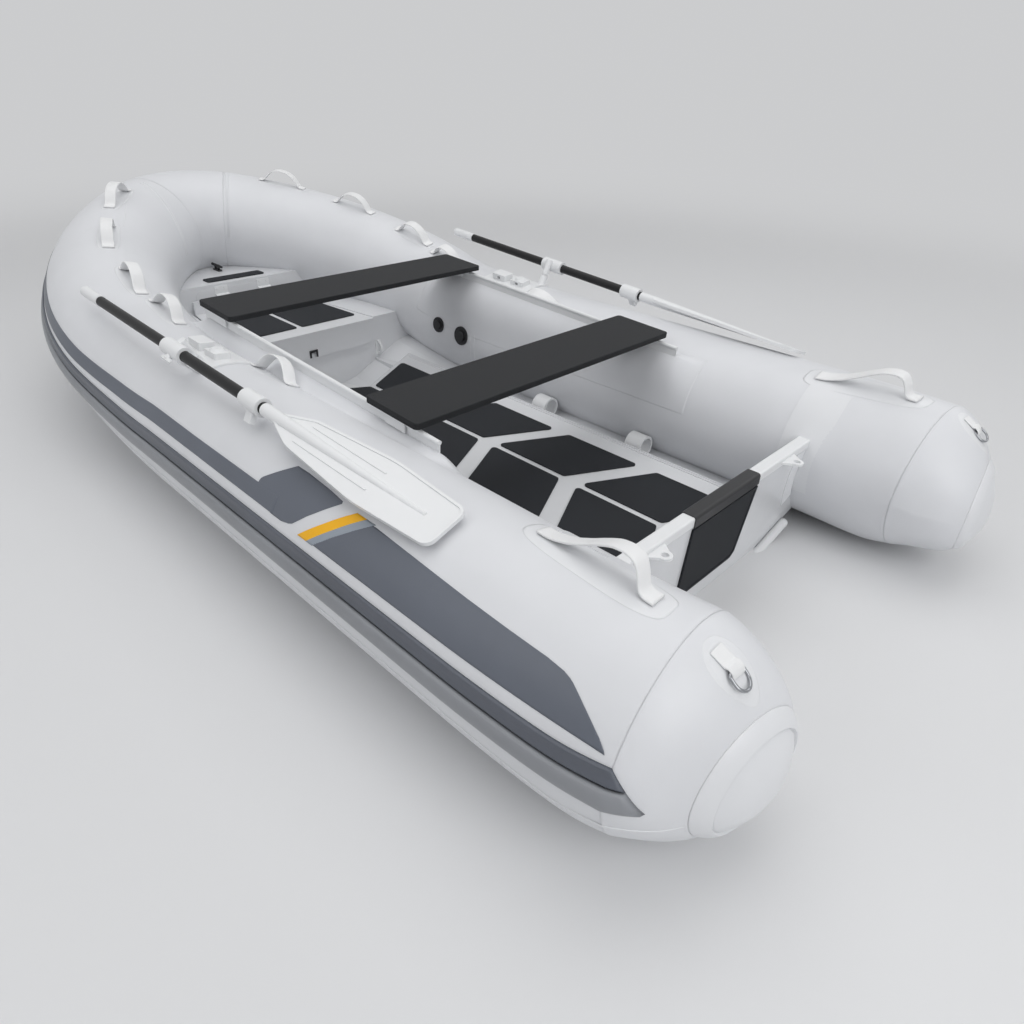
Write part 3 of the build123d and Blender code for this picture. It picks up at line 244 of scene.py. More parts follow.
def dress(thing, material, slot, instead=()):
    # finish, body, material slot (not used), and the nodes that the piece stands for
    thing.data.materials.append(look[material])
    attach(thing, "boat")
    if instead:
        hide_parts(*instead)
    return thing


def slabGrid(lower, upper):
    # a closed thin sheet: goes round each row from the lower grid to the upper, with flat ends
    ring = np.concatenate([lower, upper[:, ::-1]], 1)
    start = np.concatenate([lower[:1], lower[:1][:, ::-1]], 1)
    end = np.concatenate([lower[-1:], lower[-1:][:, ::-1]], 1)
    return np.concatenate([start, ring, end], 0)


def sheetPiece(name, lower, upper, material, **rest):
    # a closed thin sheet between two grids, with its finish and its body
    return dress(gridObject(name, slabGrid(lower, upper)), material, **rest)


def sameSide(grid):
    # a port piece stays as worked out
    return grid


def otherSide(grid):
    # a starboard piece is its mirror image across the centreline
    return grid * np.array([1, -1, 1])


bothFlips = (("Port", sameSide), ("Starboard", otherSide))
makeStage(stageValues)


def makeLight(name, place, aim, size, power):
    # an oblong panel that faces its aim
    light = bpy.data.lights.new(name, "AREA")
    light.shape, light.size, light.size_y = "RECTANGLE", size[0], size[1]
    light.energy = power
    lamp = bpy.data.objects.new(name, light)
    bpy.context.scene.collection.objects.link(lamp)
    place, aim = np.array(place, float), np.array(aim, float)
    back = (place - aim) / np.linalg.norm(place - aim)
    side = np.cross([0, 1, 0.01], back)
    side /= np.linalg.norm(side)
    basis = np.eye(4)
    basis[:3, 0], basis[:3, 1], basis[:3, 2], basis[:3, 3] = side, np.cross(back, side), back, place
    lamp.matrix_world = Matrix(basis.tolist())


# every panel: its place, the point it faces, its width and height, its power
lightValues = {
    "overheadPanel": {"place": (0.3, -0.3, 4.6), "aim": (0, 0, 0), "size": (5, 5), "power": 80},
    "keyPanel": {"place": (0.8, 4.6, 3.4), "aim": (0, 0, 0.2), "size": (4, 3), "power": 42},
    "sternPanel": {"place": (-4.8, 1.2, 3.0), "aim": (0, 0, 0.2), "size": (4, 3), "power": 85},
    "rimPanel": {"place": (-1.5, -4.5, 3.0), "aim": (0, 0, 0.2), "size": (3, 2), "power": 20},
}
worldStrength = 0.54
for name, values in lightValues.items():
    makeLight(name, **values)
world = bpy.data.worlds.new("studioAir")
bpy.context.scene.world = world
world.use_nodes = True
world.node_tree.nodes["Background"].inputs["Color"].default_value = (1, 1, 1, 1)
world.node_tree.nodes["Background"].inputs["Strength"].default_value = worldStrength
print("camera, floor and lights are in")

# path of the tubes' axis, port side, in metres
tubeValues = {"radius": 0.215, "half": 0.635, "height": 0.225, "stern": -1.540, "rocker": 0.024,
              "rockerRadius": 2.1, "pitch": math.radians(12.9), "shoulderRadius": 1.24,
              "turn": math.radians(48.8), "bowHalf": 0.165, "toeStart": 0.37, "toeSpan": 0.488,
              "toeIn": 0.031, "droopStart": 0.05, "droopSpan": 0.172, "droop": 0.016,
              "capTurn": 0.27, "tuck": 0.036, "tuckAt": -0.055, "tuckReach": 0.085,
              "tuckPower": 0.8}


def pathLengths(t):
    # length of the straight, the rocker arc, the shoulder arc and the nose arc
    shoulderY = t["half"] - t["shoulderRadius"] * (1 - math.cos(t["turn"]))
    noseRadius = shoulderY / math.cos(t["turn"])
    return [t["rocker"] - t["stern"], t["rockerRadius"] * t["pitch"],
            t["shoulderRadius"] * t["turn"], noseRadius * (math.pi / 2 - t["turn"])], noseRadius


tubeSpans, noseRadius = pathLengths(tubeValues)
tubeLength = sum(tubeSpans)


def tubeFrames(along):
    # centre, direction ahead, outward and up at each length: a line and three arcs end to end;
    # the stern end moves inboard with the square of its distance from where the toe-in starts,
    # droops with the square from where the droop starts, and turns outboard with that square
    t = tubeValues
    s = np.asarray(along, float)
    b = t["pitch"]
    lineAt = np.minimum(s, tubeSpans[0])
    rise = np.clip(s - tubeSpans[0], 0, tubeSpans[1]) / t["rockerRadius"]
    swing = np.clip(s - tubeSpans[0] - tubeSpans[1], 0, tubeSpans[2]) / t["shoulderRadius"]
    nose = np.clip(s - sum(tubeSpans[:3]), 0, None) / noseRadius
    turned = swing + nose
    ahead0 = np.array([math.cos(b), 0, math.sin(b)])
    inPlane = (t["shoulderRadius"] * np.sin(swing)
               + noseRadius * (np.sin(turned) - np.sin(swing)))
    inward = (t["shoulderRadius"] * (1 - np.cos(swing))
              + noseRadius * (np.cos(swing) - np.cos(turned)))
    centre = np.stack([t["stern"] + lineAt + t["rockerRadius"] * np.sin(rise),
                       np.full_like(s, t["half"]),
                       t["height"] + t["rockerRadius"] * (1 - np.cos(rise))], -1)
    centre = centre + inPlane[..., None] * ahead0 - inward[..., None] * np.array([0, 1, 0])
    slope = np.stack([np.cos(rise), np.zeros_like(s), np.sin(rise)], -1)
    up = np.stack([-np.sin(rise), np.zeros_like(s), np.cos(rise)], -1)
    port = np.array([0, 1.0, 0])
    toe = np.clip(t["toeStart"] - s, 0, None) / t["toeSpan"]
    sag = np.clip(t["droopStart"] - s, 0, None) / t["droopSpan"]
    centre = centre - (t["toeIn"] * toe ** 2)[..., None] * port
    centre[..., 2] -= t["droop"] * sag ** 2
    turned = turned - np.arctan(2 * t["toeIn"] * toe / t["toeSpan"])
    turned = turned + t["capTurn"] * np.clip(sag, 0, 1) ** 2
    c, n = np.cos(turned)[..., None], np.sin(turned)[..., None]
    return centre, slope * c - port * n, port * c + slope * n, up


def arcThrough(first, middle, last, count):
    # points of the circle through three points, from the first to the last
    (ax, ay), (bx, by), (cx, cy) = first, middle, last
    d = 2 * (ax * (by - cy) + bx * (cy - ay) + cx * (ay - by))
    a2, b2, c2 = ax * ax + ay * ay, bx * bx + by * by, cx * cx + cy * cy
    ux = (a2 * (by - cy) + b2 * (cy - ay) + c2 * (ay - by)) / d
    uy = (a2 * (cx - bx) + b2 * (ax - cx) + c2 * (bx - ax)) / d
    start, end = math.atan2(ay - uy, ax - ux), math.atan2(cy - uy, cx - ux)
    end -= round((end - start) / (2 * math.pi)) * 2 * math.pi
    t = np.linspace(start, end, count)
    radius = math.hypot(ax - ux, ay - uy)
    return np.stack([ux + radius * np.cos(t), uy + radius * np.sin(t)], -1)


# stern cones and end caps: the chamber's fabric gathered to a smaller cap
coneValues = {"length": 0.124, "middle": 0.190, "end": 0.131, "band": 0.020, "cap": 0.102,
              "capLength": 0.031, "around": 160, "pleats": 19, "pleatDepth": 0.0010,
              "pleatReach": 0.022, "lap": 0.0003, "lip": 0.0030, "collarMiddle": 0.0080,
              "groove": 0.0020}
coneSide = arcThrough((0, tubeValues["radius"]), (-coneValues["length"] / 2, coneValues["middle"]),
                      (-coneValues["length"], coneValues["end"]), 40)


def tuckedRadius(along, a, radius):
    # the underside of the stern draws in, most just aft of the seam
    t = tubeValues
    tuck = t["tuck"] * np.exp(-((along - t["tuckAt"]) / t["tuckReach"]) ** 2)
    under = np.clip(-np.sin(a), 0, 1) ** t["tuckPower"]
    return radius - tuck * under * (radius / t["radius"]) ** 2


def tubeSkin(along, angle, lift=0.0):
    # point at an angle round the tube, up from straight outboard, lifted off the skin;
    # aft of the stern seam the radius follows the cone's arc; the underside tucks up there
    along, angle = np.broadcast_arrays(np.asarray(along, float), np.asarray(angle, float))
    centre, _, out, up = tubeFrames(along)
    a = np.radians(angle)[..., None]
    radius = np.interp(along, coneSide[::-1, 0], coneSide[::-1, 1]) + np.asarray(lift)
    radius = tuckedRadius(along, np.radians(angle), radius)
    return centre + radius[..., None] * (out * np.cos(a) + up * np.sin(a))


# air chambers: fabric tubes, a little pinched where a seam crosses them
chamberValues = {"rings": 300, "around": 128, "pinch": 0.0003, "pucker": 0.0004}


def chamberGrid(begin, end, values):
    # rings of the tube's circle; the radius dips beside the seams and ripples there
    s = np.linspace(begin, end, values["rings"])[:, None]
    a = np.linspace(0, 360, values["around"] + 1)[:-1][None, :]
    near = np.exp(-((s - begin) / 0.02) ** 2) + np.exp(-((s - end) / 0.02) ** 2)
    close = np.exp(-((s - begin) / 0.05) ** 2) + np.exp(-((s - end) / 0.05) ** 2)
    ripple = np.sin(np.radians(a) * 41 + np.sin(np.radians(a) * 7) * 2.0)
    lift = -values["pinch"] * near - values["pucker"] * close * (1 + ripple) / 2
    skin = tubeSkin(s + 0 * a, a + 0 * s, lift)
    first = np.repeat(tubeFrames(np.array([begin]))[0], values["around"], 0)[None]
    last = np.repeat(tubeFrames(np.array([end]))[0], values["around"], 0)[None]
    return np.concatenate([first, skin, last], 0)


bowSeam = tubeLength - tubeValues["bowHalf"]
sideGrid = chamberGrid(0, bowSeam, chamberValues)
dress(gridObject("chamberPort", sideGrid), "tubeFabric", slot="tube_fabric",
      instead=("tube_port",))
dress(gridObject("chamberStarboard", otherSide(sideGrid)), "tubeFabric",
      slot="tube_fabric", instead=("tube_starboard",))
bowHalfGrid = chamberGrid(bowSeam, tubeLength, {**chamberValues, "rings": 40, "pucker": 0.0})
bowGrid = np.concatenate([bowHalfGrid[:-1], otherSide(bowHalfGrid[:-2])[::-1]], 0)
dress(gridObject("chamberBow", bowGrid), "tubeFabric", slot="tube_fabric",
      instead=("tube_bow",))
print("chambers are in")


def turnedGrid(outline, around, ripple=None):
    # an outline of distance along and radius, turned about the tube's own axis
    a = np.linspace(0, 2 * math.pi, around + 1)[:-1]
    x, r = outline[:, 0][:, None], outline[:, 1][:, None]
    r = r - (ripple(x, a[None, :], r) if ripple else 0)
    r = tuckedRadius(x, a[None, :], r)
    centre, _, out, up = (part[:, None] for part in tubeFrames(outline[:, 0]))
    return centre + r[..., None] * (out * np.cos(a)[:, None] + up * np.sin(a)[:, None])


def coneRipple(x, a, r):
    # small gathers at the cap's edge, deepest under the tube
    v = coneValues
    near = np.exp(-((x + v["length"]) / v["pleatReach"]) ** 2)
    under = 0.25 + 0.75 * np.clip(-np.sin(a), 0, 1) ** 2
    fold = (1 + np.sin(a * v["pleats"] + 1.3 * np.sin(a * 5))) / 2
    return v["pleatDepth"] * near * under * fold * (r > 0.01)


def coneOutline(v):
    # flat end lapped over the chamber, then the bulged side, then flat to the axis
    lapped = coneSide + [0, v["lap"]]
    return np.concatenate([[(0.003, 0), (0.003, coneSide[0, 1] - 0.001),
                            (0.003, coneSide[0, 1] + v["lap"])], lapped, [(-v["length"], 0)]])


def capOutline(v):
    # a round-edged collar from the cone to the rim, then a shallow dome behind a thin groove
    root, rim = -v["length"], -v["length"] - v["band"]
    tip = rim - v["capLength"]
    dome = (v["cap"] ** 2 + v["capLength"] ** 2) / (2 * v["capLength"])
    turn = np.linspace(math.asin(v["cap"] / dome), 0, 24)
    domeLine = np.stack([tip + dome * (1 - np.cos(turn)), dome * np.sin(turn)], -1)
    collar = arcThrough((root, v["end"] + 0.0002),
                        (root - v["band"] * 0.5, v["end"] - v["collarMiddle"]),
                        (rim - v["lip"], v["cap"] + 0.0045), 14)
    roll = [(rim - v["lip"] - 0.0004, v["cap"] + 0.0036), (rim - v["lip"], v["cap"] + 0.0027),
            (rim + v["groove"], v["cap"] + 0.0018), (rim + v["groove"], v["cap"] - 0.0002)]
    return np.concatenate([[(root, 0), (root, v["end"] - 0.002)], collar, roll, domeLine])


coneGrid = turnedGrid(coneOutline(coneValues), coneValues["around"], coneRipple)
capGrid = turnedGrid(capOutline(coneValues), coneValues["around"])
for side, flip in bothFlips:
    dress(gridObject("sternCone" + side, flip(coneGrid)), "tubeFabric",
          slot="tube_fabric", instead=("cone_" + side.lower(),))
    dress(gridObject("sternCap" + side, flip(capGrid)), "seamFabric",
          slot="tube_fabric", instead=("cap_" + side.lower(),))
print("cones and caps are in")

# rub strakes: a dark flat band over a round grey bead, all round the boat
strakeValues = {"band": (10.2, 19.0), "bandLift": 0.0062, "bead": (-0.5, 10.2),
                "beadLift": 0.0150, "rings": 360, "across": 17, "sternTop": 0.003,
                "sternFoot": -0.069, "gap": 0.0003, "edgeSteep": 9, "hollow": 0.28,
                "hollowReach": 0.3,
                "fall": [(-0.2, -7.0), (-0.05, -6.5), (-0.02, -5.0), (0.01, -3.5),
                         (0.05, -1.0), (0.10, 0.0), (1.55, -0.5),
                         (1.80, 1.2), (2.05, 5.5), (2.30, 8.5), (2.70, 8.0), (3.40, 5.0)]}


def strakeFall(s):
    # how far the strakes and the bow band sit below their usual angle, smoothed along the tube
    table = np.array(strakeValues["fall"])
    wide = np.linspace(-0.06, 0.06, 13)
    return np.mean([np.interp(s + w, table[:, 0], table[:, 1]) for w in wide], axis=0)


def strakeGrid(low, high, shape, values):
    # the section runs round the tube; its stern end is cut obliquely, its bow end on the centreline
    f = np.linspace(0, 1, values["across"])
    angle, height = low + (high - low) * f, shape(f)
    angle = np.concatenate([angle, angle[::-1]])
    lift = values["gap"] + np.concatenate([height, 0 * height])
    top, foot = values["sternTop"], values["sternFoot"]
    aft = top + (foot - top) * (values["band"][1] - angle) / (values["band"][1] - values["bead"][0])
    f = np.linspace(0, 1, values["rings"])[:, None]
    s = aft[None, :] * (1 - f) + tubeLength * f
    skin = tubeSkin(s, angle[None, :] - strakeFall(s), lift[None, :] + 0 * s)
    first = np.repeat(skin[:1, :len(height)].mean(1, keepdims=True), len(angle), 1)
    return np.concatenate([first, skin], 0)


def bothSides(grid):
    # port rows from the stern to the centreline, then the starboard rows back to the stern
    return np.concatenate([grid[:-1], otherSide(grid)[::-1]], 0)


def bandShape(f):
    # a flat band with steep edges and a shallow hollow along its middle
    v = strakeValues
    edge = np.clip(np.minimum(f, 1 - f) * v["edgeSteep"], 0, 1) ** 0.5
    return v["bandLift"] * (edge - v["hollow"] * np.exp(-((f - 0.5) / v["hollowReach"]) ** 2))


def beadShape(f):
    # half an ellipse that stands on the band's height
    v = strakeValues
    return v["bandLift"] + (v["beadLift"] - v["bandLift"]) * np.sqrt(
        np.clip(1 - (2 * f - 1) ** 2, 0, 1))


def closeFoot(shape):
    # brings the height to the skin at both edges
    return lambda f: np.where((f <= 0) | (f >= 1), 0, shape(f))


bandGrid = strakeGrid(*strakeValues["band"], closeFoot(bandShape), strakeValues)
beadGrid = strakeGrid(*strakeValues["bead"], closeFoot(beadShape), strakeValues)
dress(gridObject("rubBand", bothSides(bandGrid)), "strakeDark",
      slot="strake_dark", instead=("strake_band_port", "strake_band_starboard"))
dress(gridObject("rubBead", bothSides(beadGrid)), "strakeGrey",
      slot="strake_grey", instead=("strake_bead_port", "strake_bead_starboard"))
print("rub strakes are in")

# flat coloured panels bonded to the tubes: rows of angle, aft end and fore end along the tube
panelValues = {
    "sternPanel": {"finish": "slateFabric", "rows": [(25.6, 0.022, 0.745), (27.2, 0.026, 0.738),
                   (30.2, 0.038, 0.722), (35.3, 0.063, 0.699), (40.3, 0.089, 0.675),
                   (43.5, 0.107, 0.660), (45.3, 0.120, 0.653), (46.4, 0.138, 0.647),
                   (47.2, 0.168, 0.643), (50.0, 0.385, 0.631), (53.0, 0.604, 0.617)]},
    "ashStripe": {"finish": "ashFabric", "rows": [(25.0, 0.745, 0.768), (32.0, 0.713, 0.737),
                  (40.0, 0.676, 0.701), (47.0, 0.644, 0.671), (54.0, 0.612, 0.640)]},
    "amberStripe": {"finish": "amberFabric", "rows": [(25.0, 0.768, 0.800), (32.0, 0.737, 0.769),
                    (40.0, 0.701, 0.733), (47.0, 0.671, 0.703), (54.0, 0.640, 0.672)]},
    "bowPanel": {"finish": "slateFabric", "rows": [(25.7, 0.866, 0.910), (26.6, 0.845, 0.910),
                 (28.0, 0.829, 0.910), (33.0, 0.808, 0.910), (36.35, 0.795, 0.910),
                 (36.45, 0.795, 0.988), (40.0, 0.779, 0.985), (46.0, 0.754, 0.957),
                 (52.0, 0.729, 0.929),
                 (54.6, 0.719, 0.917), (56.0, 0.760, 0.911), (57.6, 0.862, 0.903)]},
    "bowBand": {"finish": "slateFabric", "rows": [(0.0, 0.90, 9.0), (1.0, 0.90, 9.0)],
                "low": [(0.90, 25.7), (1.55, 26.2), (1.8, 25.3), (2.1, 23.6), (3.3, 22.5)],
                "high": [(0.90, 36.4), (1.30, 36.4), (1.55, 37.0), (1.8, 35.9), (2.05, 34.5),
                         (3.3, 32.5)]},
}


def panelGrid(values, lift, across=24, length=200):
    # between the rows the ends follow straight lines; a row is even steps from aft to fore;
    # with low and high given, the rows run between those two lines instead of level angles
    table = np.array(values["rows"])
    angle = np.linspace(table[0, 0], table[-1, 0], across)
    aft = np.interp(angle, table[:, 0], table[:, 1])
    fore = np.minimum(np.interp(angle, table[:, 0], table[:, 2]), tubeLength)
    f = np.linspace(0, 1, length)[:, None]
    s = aft[None, :] * (1 - f) + fore[None, :] * f
    angle = angle[None, :] + 0 * s
    if "low" in values:
        low, high = (np.interp(s, *np.array(values[edge]).T) - strakeFall(s)
                     for edge in ("low", "high"))
        angle = low + (high - low) * angle
    return tubeSkin(s, angle, lift)


for name, values in panelValues.items():
    for side, flip in bothFlips:
        sheetPiece(name + side, flip(panelGrid(values, 0.0003)),
                   flip(panelGrid(values, 0.0009)), values["finish"],
                   slot="strake_dark" if values["finish"] != "amberFabric" else "tube_fabric")
print("coloured panels are in")

# seam tapes: narrow bands of the same fabric, bevelled at both edges
seamValues = {"lift": 0.0011, "edge": 0.25, "foot": 0.0002, "rim": 0.0003}


def ringTape(begin, end, low=0.0, high=360.0, around=160):
    # a band across the tube between two lengths
    shape = np.array([0.0, seamValues["edge"], 1 - seamValues["edge"], 1.0])
    rim, top = seamValues["rim"], seamValues["lift"]
    lift = np.array([rim, top, top, rim])
    s = (begin + (end - begin) * shape)[:, None]
    a = np.linspace(low, high, around)[None, :]
    s, a, lift = np.broadcast_arrays(s, a, lift[:, None])
    return tubeSkin(s, a, seamValues["foot"]), tubeSkin(s, a, lift)


def curvedTape(points, width, lift=None, count=160):
    # a band along the smooth line through (distance, angle) points, its edges square to the line
    points = np.array(points, float)
    t = np.linspace(0, 1, len(points))
    even = np.linspace(0, 1, count)
    s, a = (np.polyval(np.polyfit(t, points[:, k], min(4, len(points) - 1)), even) for k in (0, 1))
    stepS, stepA = np.gradient(s), np.gradient(np.radians(a)) * tubeValues["radius"]
    reach = np.hypot(stepS, stepA)
    shape = np.array([-1, 2 * seamValues["edge"] - 1, 1 - 2 * seamValues["edge"], 1])[:, None]
    across = shape * width / 2
    rim, top = seamValues["rim"], seamValues["lift"] if lift is None else lift
    high = np.array([rim, top, top, rim])[:, None]
    s2 = s - across * stepA / reach
    a2 = a + np.degrees(across * stepS / reach / tubeValues["radius"])
    return tubeSkin(s2, a2, seamValues["foot"]), tubeSkin(s2, a2, high + 0 * s2)


def doubleTape(points, width, gap=0.010, lift=0.0018):
    # two narrow bands side by side, as a lapped seam shows
    shift = (width + gap) / 2
    return [curvedTape([(s + side * shift, a) for s, a in points], width, lift)
            for side in (-1, 1)]


# the welded edge low on each tube: a long run, then a turn up round the stern cone
lowerPipe = [curvedTape([(2.10, -14.0), (1.2, -14.0), (0.60, -14.4), (0.30, -15.6),
                         (0.10, -18.5)], 0.0050, 0.0022, 400),
             curvedTape([(0.10, -18.5), (0.03, -14.5), (-0.02, -11.0), (-0.06, -10.0),
                         (-0.122, -13.0)], 0.0050, 0.0022)]
tapeTable = {
    "bowSeam": ("Port", doubleTape([(3.112, 88), (3.090, 101), (3.053, 115), (3.012, 130),
                                    (2.973, 144), (2.944, 158), (2.919, 173)], 0.006)),
    "bowSeamFar": ("Starboard", doubleTape([(3.144, 86), (3.137, 115), (3.125, 141),
                                            (3.112, 174)], 0.004)),
    "shoulderSeam": ("Port", [curvedTape([(2.946, 93), (2.81, 100), (2.68, 104)], 0.003, 0.0005)]),
    "lowerPipe": ("Port", lowerPipe),
    "lowerPipeFar": ("Starboard", lowerPipe),
    "middleSeam": ("Starboard", [ringTape(1.600, 1.603, 20, 240), ringTape(1.622, 1.625, 20, 240)]),
}
for name, (side, bands) in tapeTable.items():
    flip = dict(bothFlips)[side]
    for k, (lower, upper) in enumerate(bands):
        sheetPiece(name + "AB"[k], flip(lower), flip(upper), "seamFabric", slot="tube_fabric")
print("seam tapes are in")

# webbing handles: a flat strap along a smooth line of distance along the tube and height
loopTable = [(1.371, 117.0), (1.971, 106.0), (2.211, 101.0), (2.561, 93.0), (2.911, 85.0)]
webbingValues = {
    "grabLoop": {"line": [(-0.099, 0.0040), (-0.079, 0.0044), (-0.071, 0.011), (-0.060, 0.026),
                          (-0.043, 0.042), (-0.020, 0.0525), (0.006, 0.0555), (0.030, 0.0520),
                          (0.051, 0.0400), (0.066, 0.022), (0.074, 0.009), (0.081, 0.0042),
                          (0.099, 0.0040)], "width": 0.038, "thick": 0.0045},
    "sternStrap": {"line": [(-0.136, 0.0048), (-0.113, 0.0052), (-0.105, 0.012),
                            (-0.099, 0.036), (-0.088, 0.058), (-0.064, 0.0640),
                            (-0.036, 0.0600), (-0.008, 0.048), (0.024, 0.032), (0.056, 0.018),
                            (0.088, 0.009), (0.106, 0.0056), (0.133, 0.0050)],
                   "width": 0.040, "thick": 0.0065, "lean": 33.0},
    "ringStrap": {"line": [(0.022, 0.0030), (0.010, 0.0032), (-0.003, 0.0045), (-0.010, 0.0105),
                           (-0.017, 0.0105), (-0.0205, 0.0060), (-0.0190, 0.0025)],
                  "width": 0.033, "thick": 0.0042},
}

# patches under them: place along and round the tube, then length, width and height
patchValues = {"loopSize": (0.226, 0.070, 0.0004), "handleAt": (0.212, 100),
               "handleSize": (0.330, 0.100, 0.0003), "handleLean": 33, "ringAt": (-0.066, 90),
               "ringSizes": ((0.096, 0.0005), (0.078, 0.0010)), "ringStrapAt": (-0.0585, 89.5)}


def smoothLine(points, count):
    # a rounded line through the points: straight steps blurred along their length
    points = np.array(points)
    reach = np.concatenate([[0], np.cumsum(np.linalg.norm(np.diff(points, axis=0), axis=1))])
    even = np.linspace(0, reach[-1], count)
    line = np.stack([np.interp(even, reach, points[:, k]) for k in (0, 1)], -1)
    kernel = np.hanning(int(count * 0.13) | 1)
    kernel /= kernel.sum()
    pad = len(kernel) // 2
    wide = np.concatenate([np.repeat(line[:1], pad, 0), line, np.repeat(line[-1:], pad, 0)])
    soft = np.stack([np.convolve(wide[:, k], kernel, "valid") for k in (0, 1)], -1)
    soft[0], soft[-1] = line[0], line[-1]
    return soft


def strapGrid(along, angle, values, count=72):
    # a rounded flat section carried along the line, standing on the tube's skin
    line = smoothLine(values["line"], count)
    step = np.gradient(line, axis=0)
    step /= np.linalg.norm(step, axis=1)[:, None]
    turn = np.linspace(0, 2 * math.pi, 21)[:-1]
    wide = values["width"] / 2 * np.sign(np.cos(turn)) * np.abs(np.cos(turn)) ** 0.35
    deep = values["thick"] / 2 * np.sign(np.sin(turn)) * np.abs(np.sin(turn)) ** 0.6
    s = along + line[:, 0][:, None] - step[:, 1][:, None] * deep[None, :]
    lift = line[:, 1][:, None] + step[:, 0][:, None] * deep[None, :] - 0.0003
    around = angle + values.get("lean", 0) * (s - along)
    base = tubeSkin(s, around, lift)
    _, _, out, up = tubeFrames(s)
    a = np.radians(around)[..., None]
    across = out * -np.sin(a) + up * np.cos(a)
    body = base + across * wide[None, :, None]
    first = np.repeat(body[:1].mean(1, keepdims=True), body.shape[1], 1)
    last = np.repeat(body[-1:].mean(1, keepdims=True), body.shape[1], 1)
    return np.concatenate([first, body, last], 0)


def joinPieces(name, things):
    # several meshes become one object
    work = bmesh.new()
    for thing in things:
        work.from_mesh(thing.data)
    mesh = bpy.data.meshes.new(name)
    work.to_mesh(mesh)
    work.free()
    for thing in things:
        bpy.data.objects.remove(thing)
    return smoothObject(name, mesh)


def ovalPatch(along, angle, length, width, lift, rings=26, around=96, corner=0.5, lean=0):
    # rings of a rounded oblong laid on the skin; the height falls to nothing at the rim
    t = np.linspace(0, 2 * math.pi, around + 1)[:-1]
    x = np.sign(np.cos(t)) * np.abs(np.cos(t)) ** corner * length / 2
    y = np.sign(np.sin(t)) * np.abs(np.sin(t)) ** corner * width / 2
    f = np.linspace(0, 1, rings)[:, None]
    s = along + f * x[None, :]
    a = angle + np.degrees(f * y[None, :] / tubeValues["radius"]) + lean * (s - along)
    rim = np.clip((1 - f) * 14, 0, 1)
    top = tubeSkin(s, a, 0.0002 + lift * rim + 0 * s)
    foot = tubeSkin(s, a, 0.0001 + 0 * s)
    return np.concatenate([foot, top[::-1]], 0)


def strapObject(name, flip, along, angle, kind):
    # one strap of a kind at its place on a tube
    grid = flip(strapGrid(along, angle, webbingValues[kind]))
    return gridObject(name, grid)


def patchObject(flip, along, angle, length, width, lift, **shape):
    # one patch at its place on a tube
    grid = flip(ovalPatch(along, angle, length, width, lift, **shape))
    return gridObject("patch", grid)


for side, flip in bothFlips:
    v, node = patchValues, "_" + side.lower()
    straps = [strapObject("strap", flip, s, a, "grabLoop") for s, a in loopTable]
    dress(joinPieces("grabLoops" + side, straps), "whiteWebbing", slot="white_fitting",
          instead=("grab_loops" + node,))
    dress(strapObject("sternStrap" + side, flip, *v["handleAt"], "sternStrap"), "whiteWebbing",
          slot="white_fitting", instead=("stern_handle" + node,))
    patches = [patchObject(flip, s, a, *v["loopSize"]) for s, a in loopTable]
    patches += [patchObject(flip, *v["handleAt"], *v["handleSize"], lean=v["handleLean"])]
    dress(joinPieces("tubePatches" + side, patches), "seamFabric", slot="tube_fabric",
          instead=("tube_patches" + node,))
    rings = [patchObject(flip, *v["ringAt"], size, size, lift, corner=1.0)
             for size, lift in v["ringSizes"]]
    dress(joinPieces("ringPatch" + side, rings), "seamFabric", slot="tube_fabric")
    dress(strapObject("ringStrap" + side, flip, *v["ringStrapAt"], "ringStrap"), "whiteWebbing",
          slot="tube_fabric", instead=("ring_straps",) if side == "Port" else ())
print("webbing handles are in")

# the fabric of each tube rises to its bench rail in a soft ridge
fairingValues = {"aft": 0.660, "fore": 1.955, "ramp": 0.090, "inner": 172.0, "outer": 123.0,
                 "railY": 0.4815, "railX": -0.638, "railZ": 0.436, "railRise": 0.0489,
                 "below": 0.0245, "root": -0.0015, "proud": 0.00015}


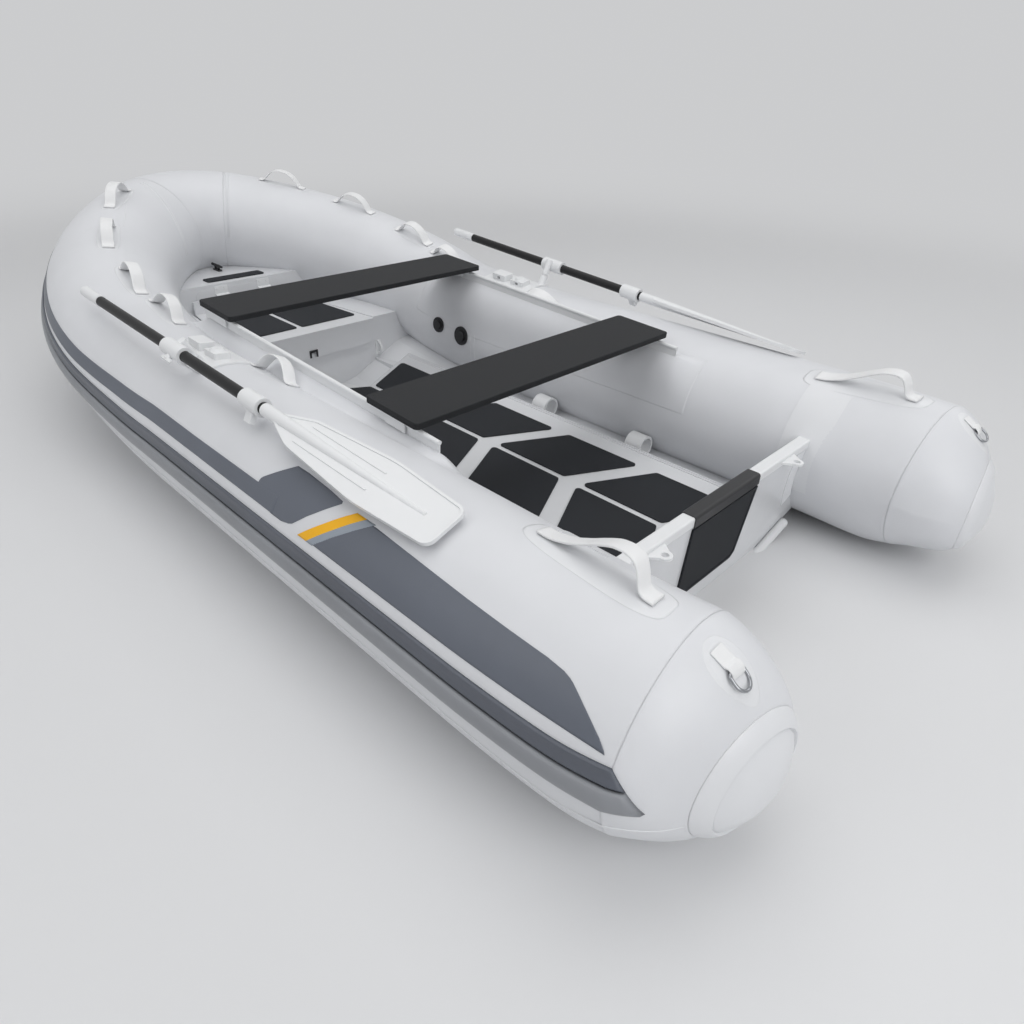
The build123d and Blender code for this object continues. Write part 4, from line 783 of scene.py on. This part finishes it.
def fairingLift(s, a, v):
    # radial height of the ridge: full at the rail's angle, falling as a cosine to either side
    centre = tubeFrames(s)[0]
    crestZ = v["railZ"] + (centre[..., 0] - v["railX"]) * v["railRise"] - v["below"]
    y, z = v["railY"] - centre[..., 1], crestZ - centre[..., 2]
    crest = np.degrees(np.arctan2(z, y))
    height = np.clip(np.hypot(y, z) - tubeValues["radius"], 0, None)
    side = np.where(a > crest, v["inner"] - crest, crest - v["outer"])
    fall = 0.5 + 0.5 * np.cos(math.pi * np.clip(np.abs(a - crest) / side, 0, 1))
    ends = (np.clip((s - v["aft"]) / v["ramp"], 0, 1)
            * np.clip((v["fore"] - s) / v["ramp"], 0, 1))
    return height * fall * ends * ends * (3 - 2 * ends)


def fairingGrids(v):
    # the ridge's underside, sunk in the tube, and its top
    s = np.linspace(v["aft"], v["fore"], 200)[:, None]
    a = np.linspace(v["outer"], v["inner"], 61)[None, :]
    s, a = np.broadcast_arrays(s, a)
    return tubeSkin(s, a, v["root"]), tubeSkin(s, a, v["proud"] + fairingLift(s, a, v))


ridge = fairingGrids(fairingValues)
for side, flip in bothFlips:
    sheetPiece("railFairing" + side, flip(ridge[0]), flip(ridge[1]), "tubeFabric",
               slot="tube_fabric")
print("rail fairings are in")

# finishes of the CAD nodes that stay
nodeFinish = {
    "hull": "gelcoat", "keel_strip": "gelcoat", "floor_deck": "gelcoat", "bow_deck": "gelcoat",
    "locker_face": "gelcoat", "locker_lid": "gelcoat", "transom_panel": "gelcoat",
    "transom_lip": "whiteMoulding", "transom_bar": "whiteMoulding", "tow_eyes": "whiteMoulding",
    "transom_tapes": "seamFabric", "transom_cap": "blackMoulding", "motor_pad": "deckFoam",
    "floor_pads": "deckFoam", "lid_pads": "deckFoam", "step_pad": "deckFoam",
    "bench_aft": "seatBoard", "bench_fore": "seatBoard", "bench_aft_sliders": "whiteMoulding",
    "bench_fore_sliders": "whiteMoulding", "rails": "whiteMoulding", "lid_latch": "blackMoulding",
    "hinge_fixed": "whiteMoulding", "hinge_moving": "whiteMoulding", "bow_cleat": "blackMoulding",
    "bow_eye": "polishedSteel", "stern_rings": "polishedSteel",
    "locker_padeye": "whiteMoulding", "valves": "blackMoulding", "tie_rings": "whiteMoulding",
    "rowlock_bases": "whiteMoulding", "oar_grip": "whiteMoulding", "oar_shaft": "shaftBlack",
    "oar_collar": "whiteMoulding", "oar_blade": "whiteMoulding", "oar_clamp": "whiteMoulding",
}
for node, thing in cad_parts.items():
    if thing.hide_render:
        continue
    key = node.removesuffix("_port").removesuffix("_starboard")
    thing.data.materials.clear()
    thing.data.materials.append(look[nodeFinish.get(key, "whiteMoulding")])
print("finishes are on the carried-over nodes")
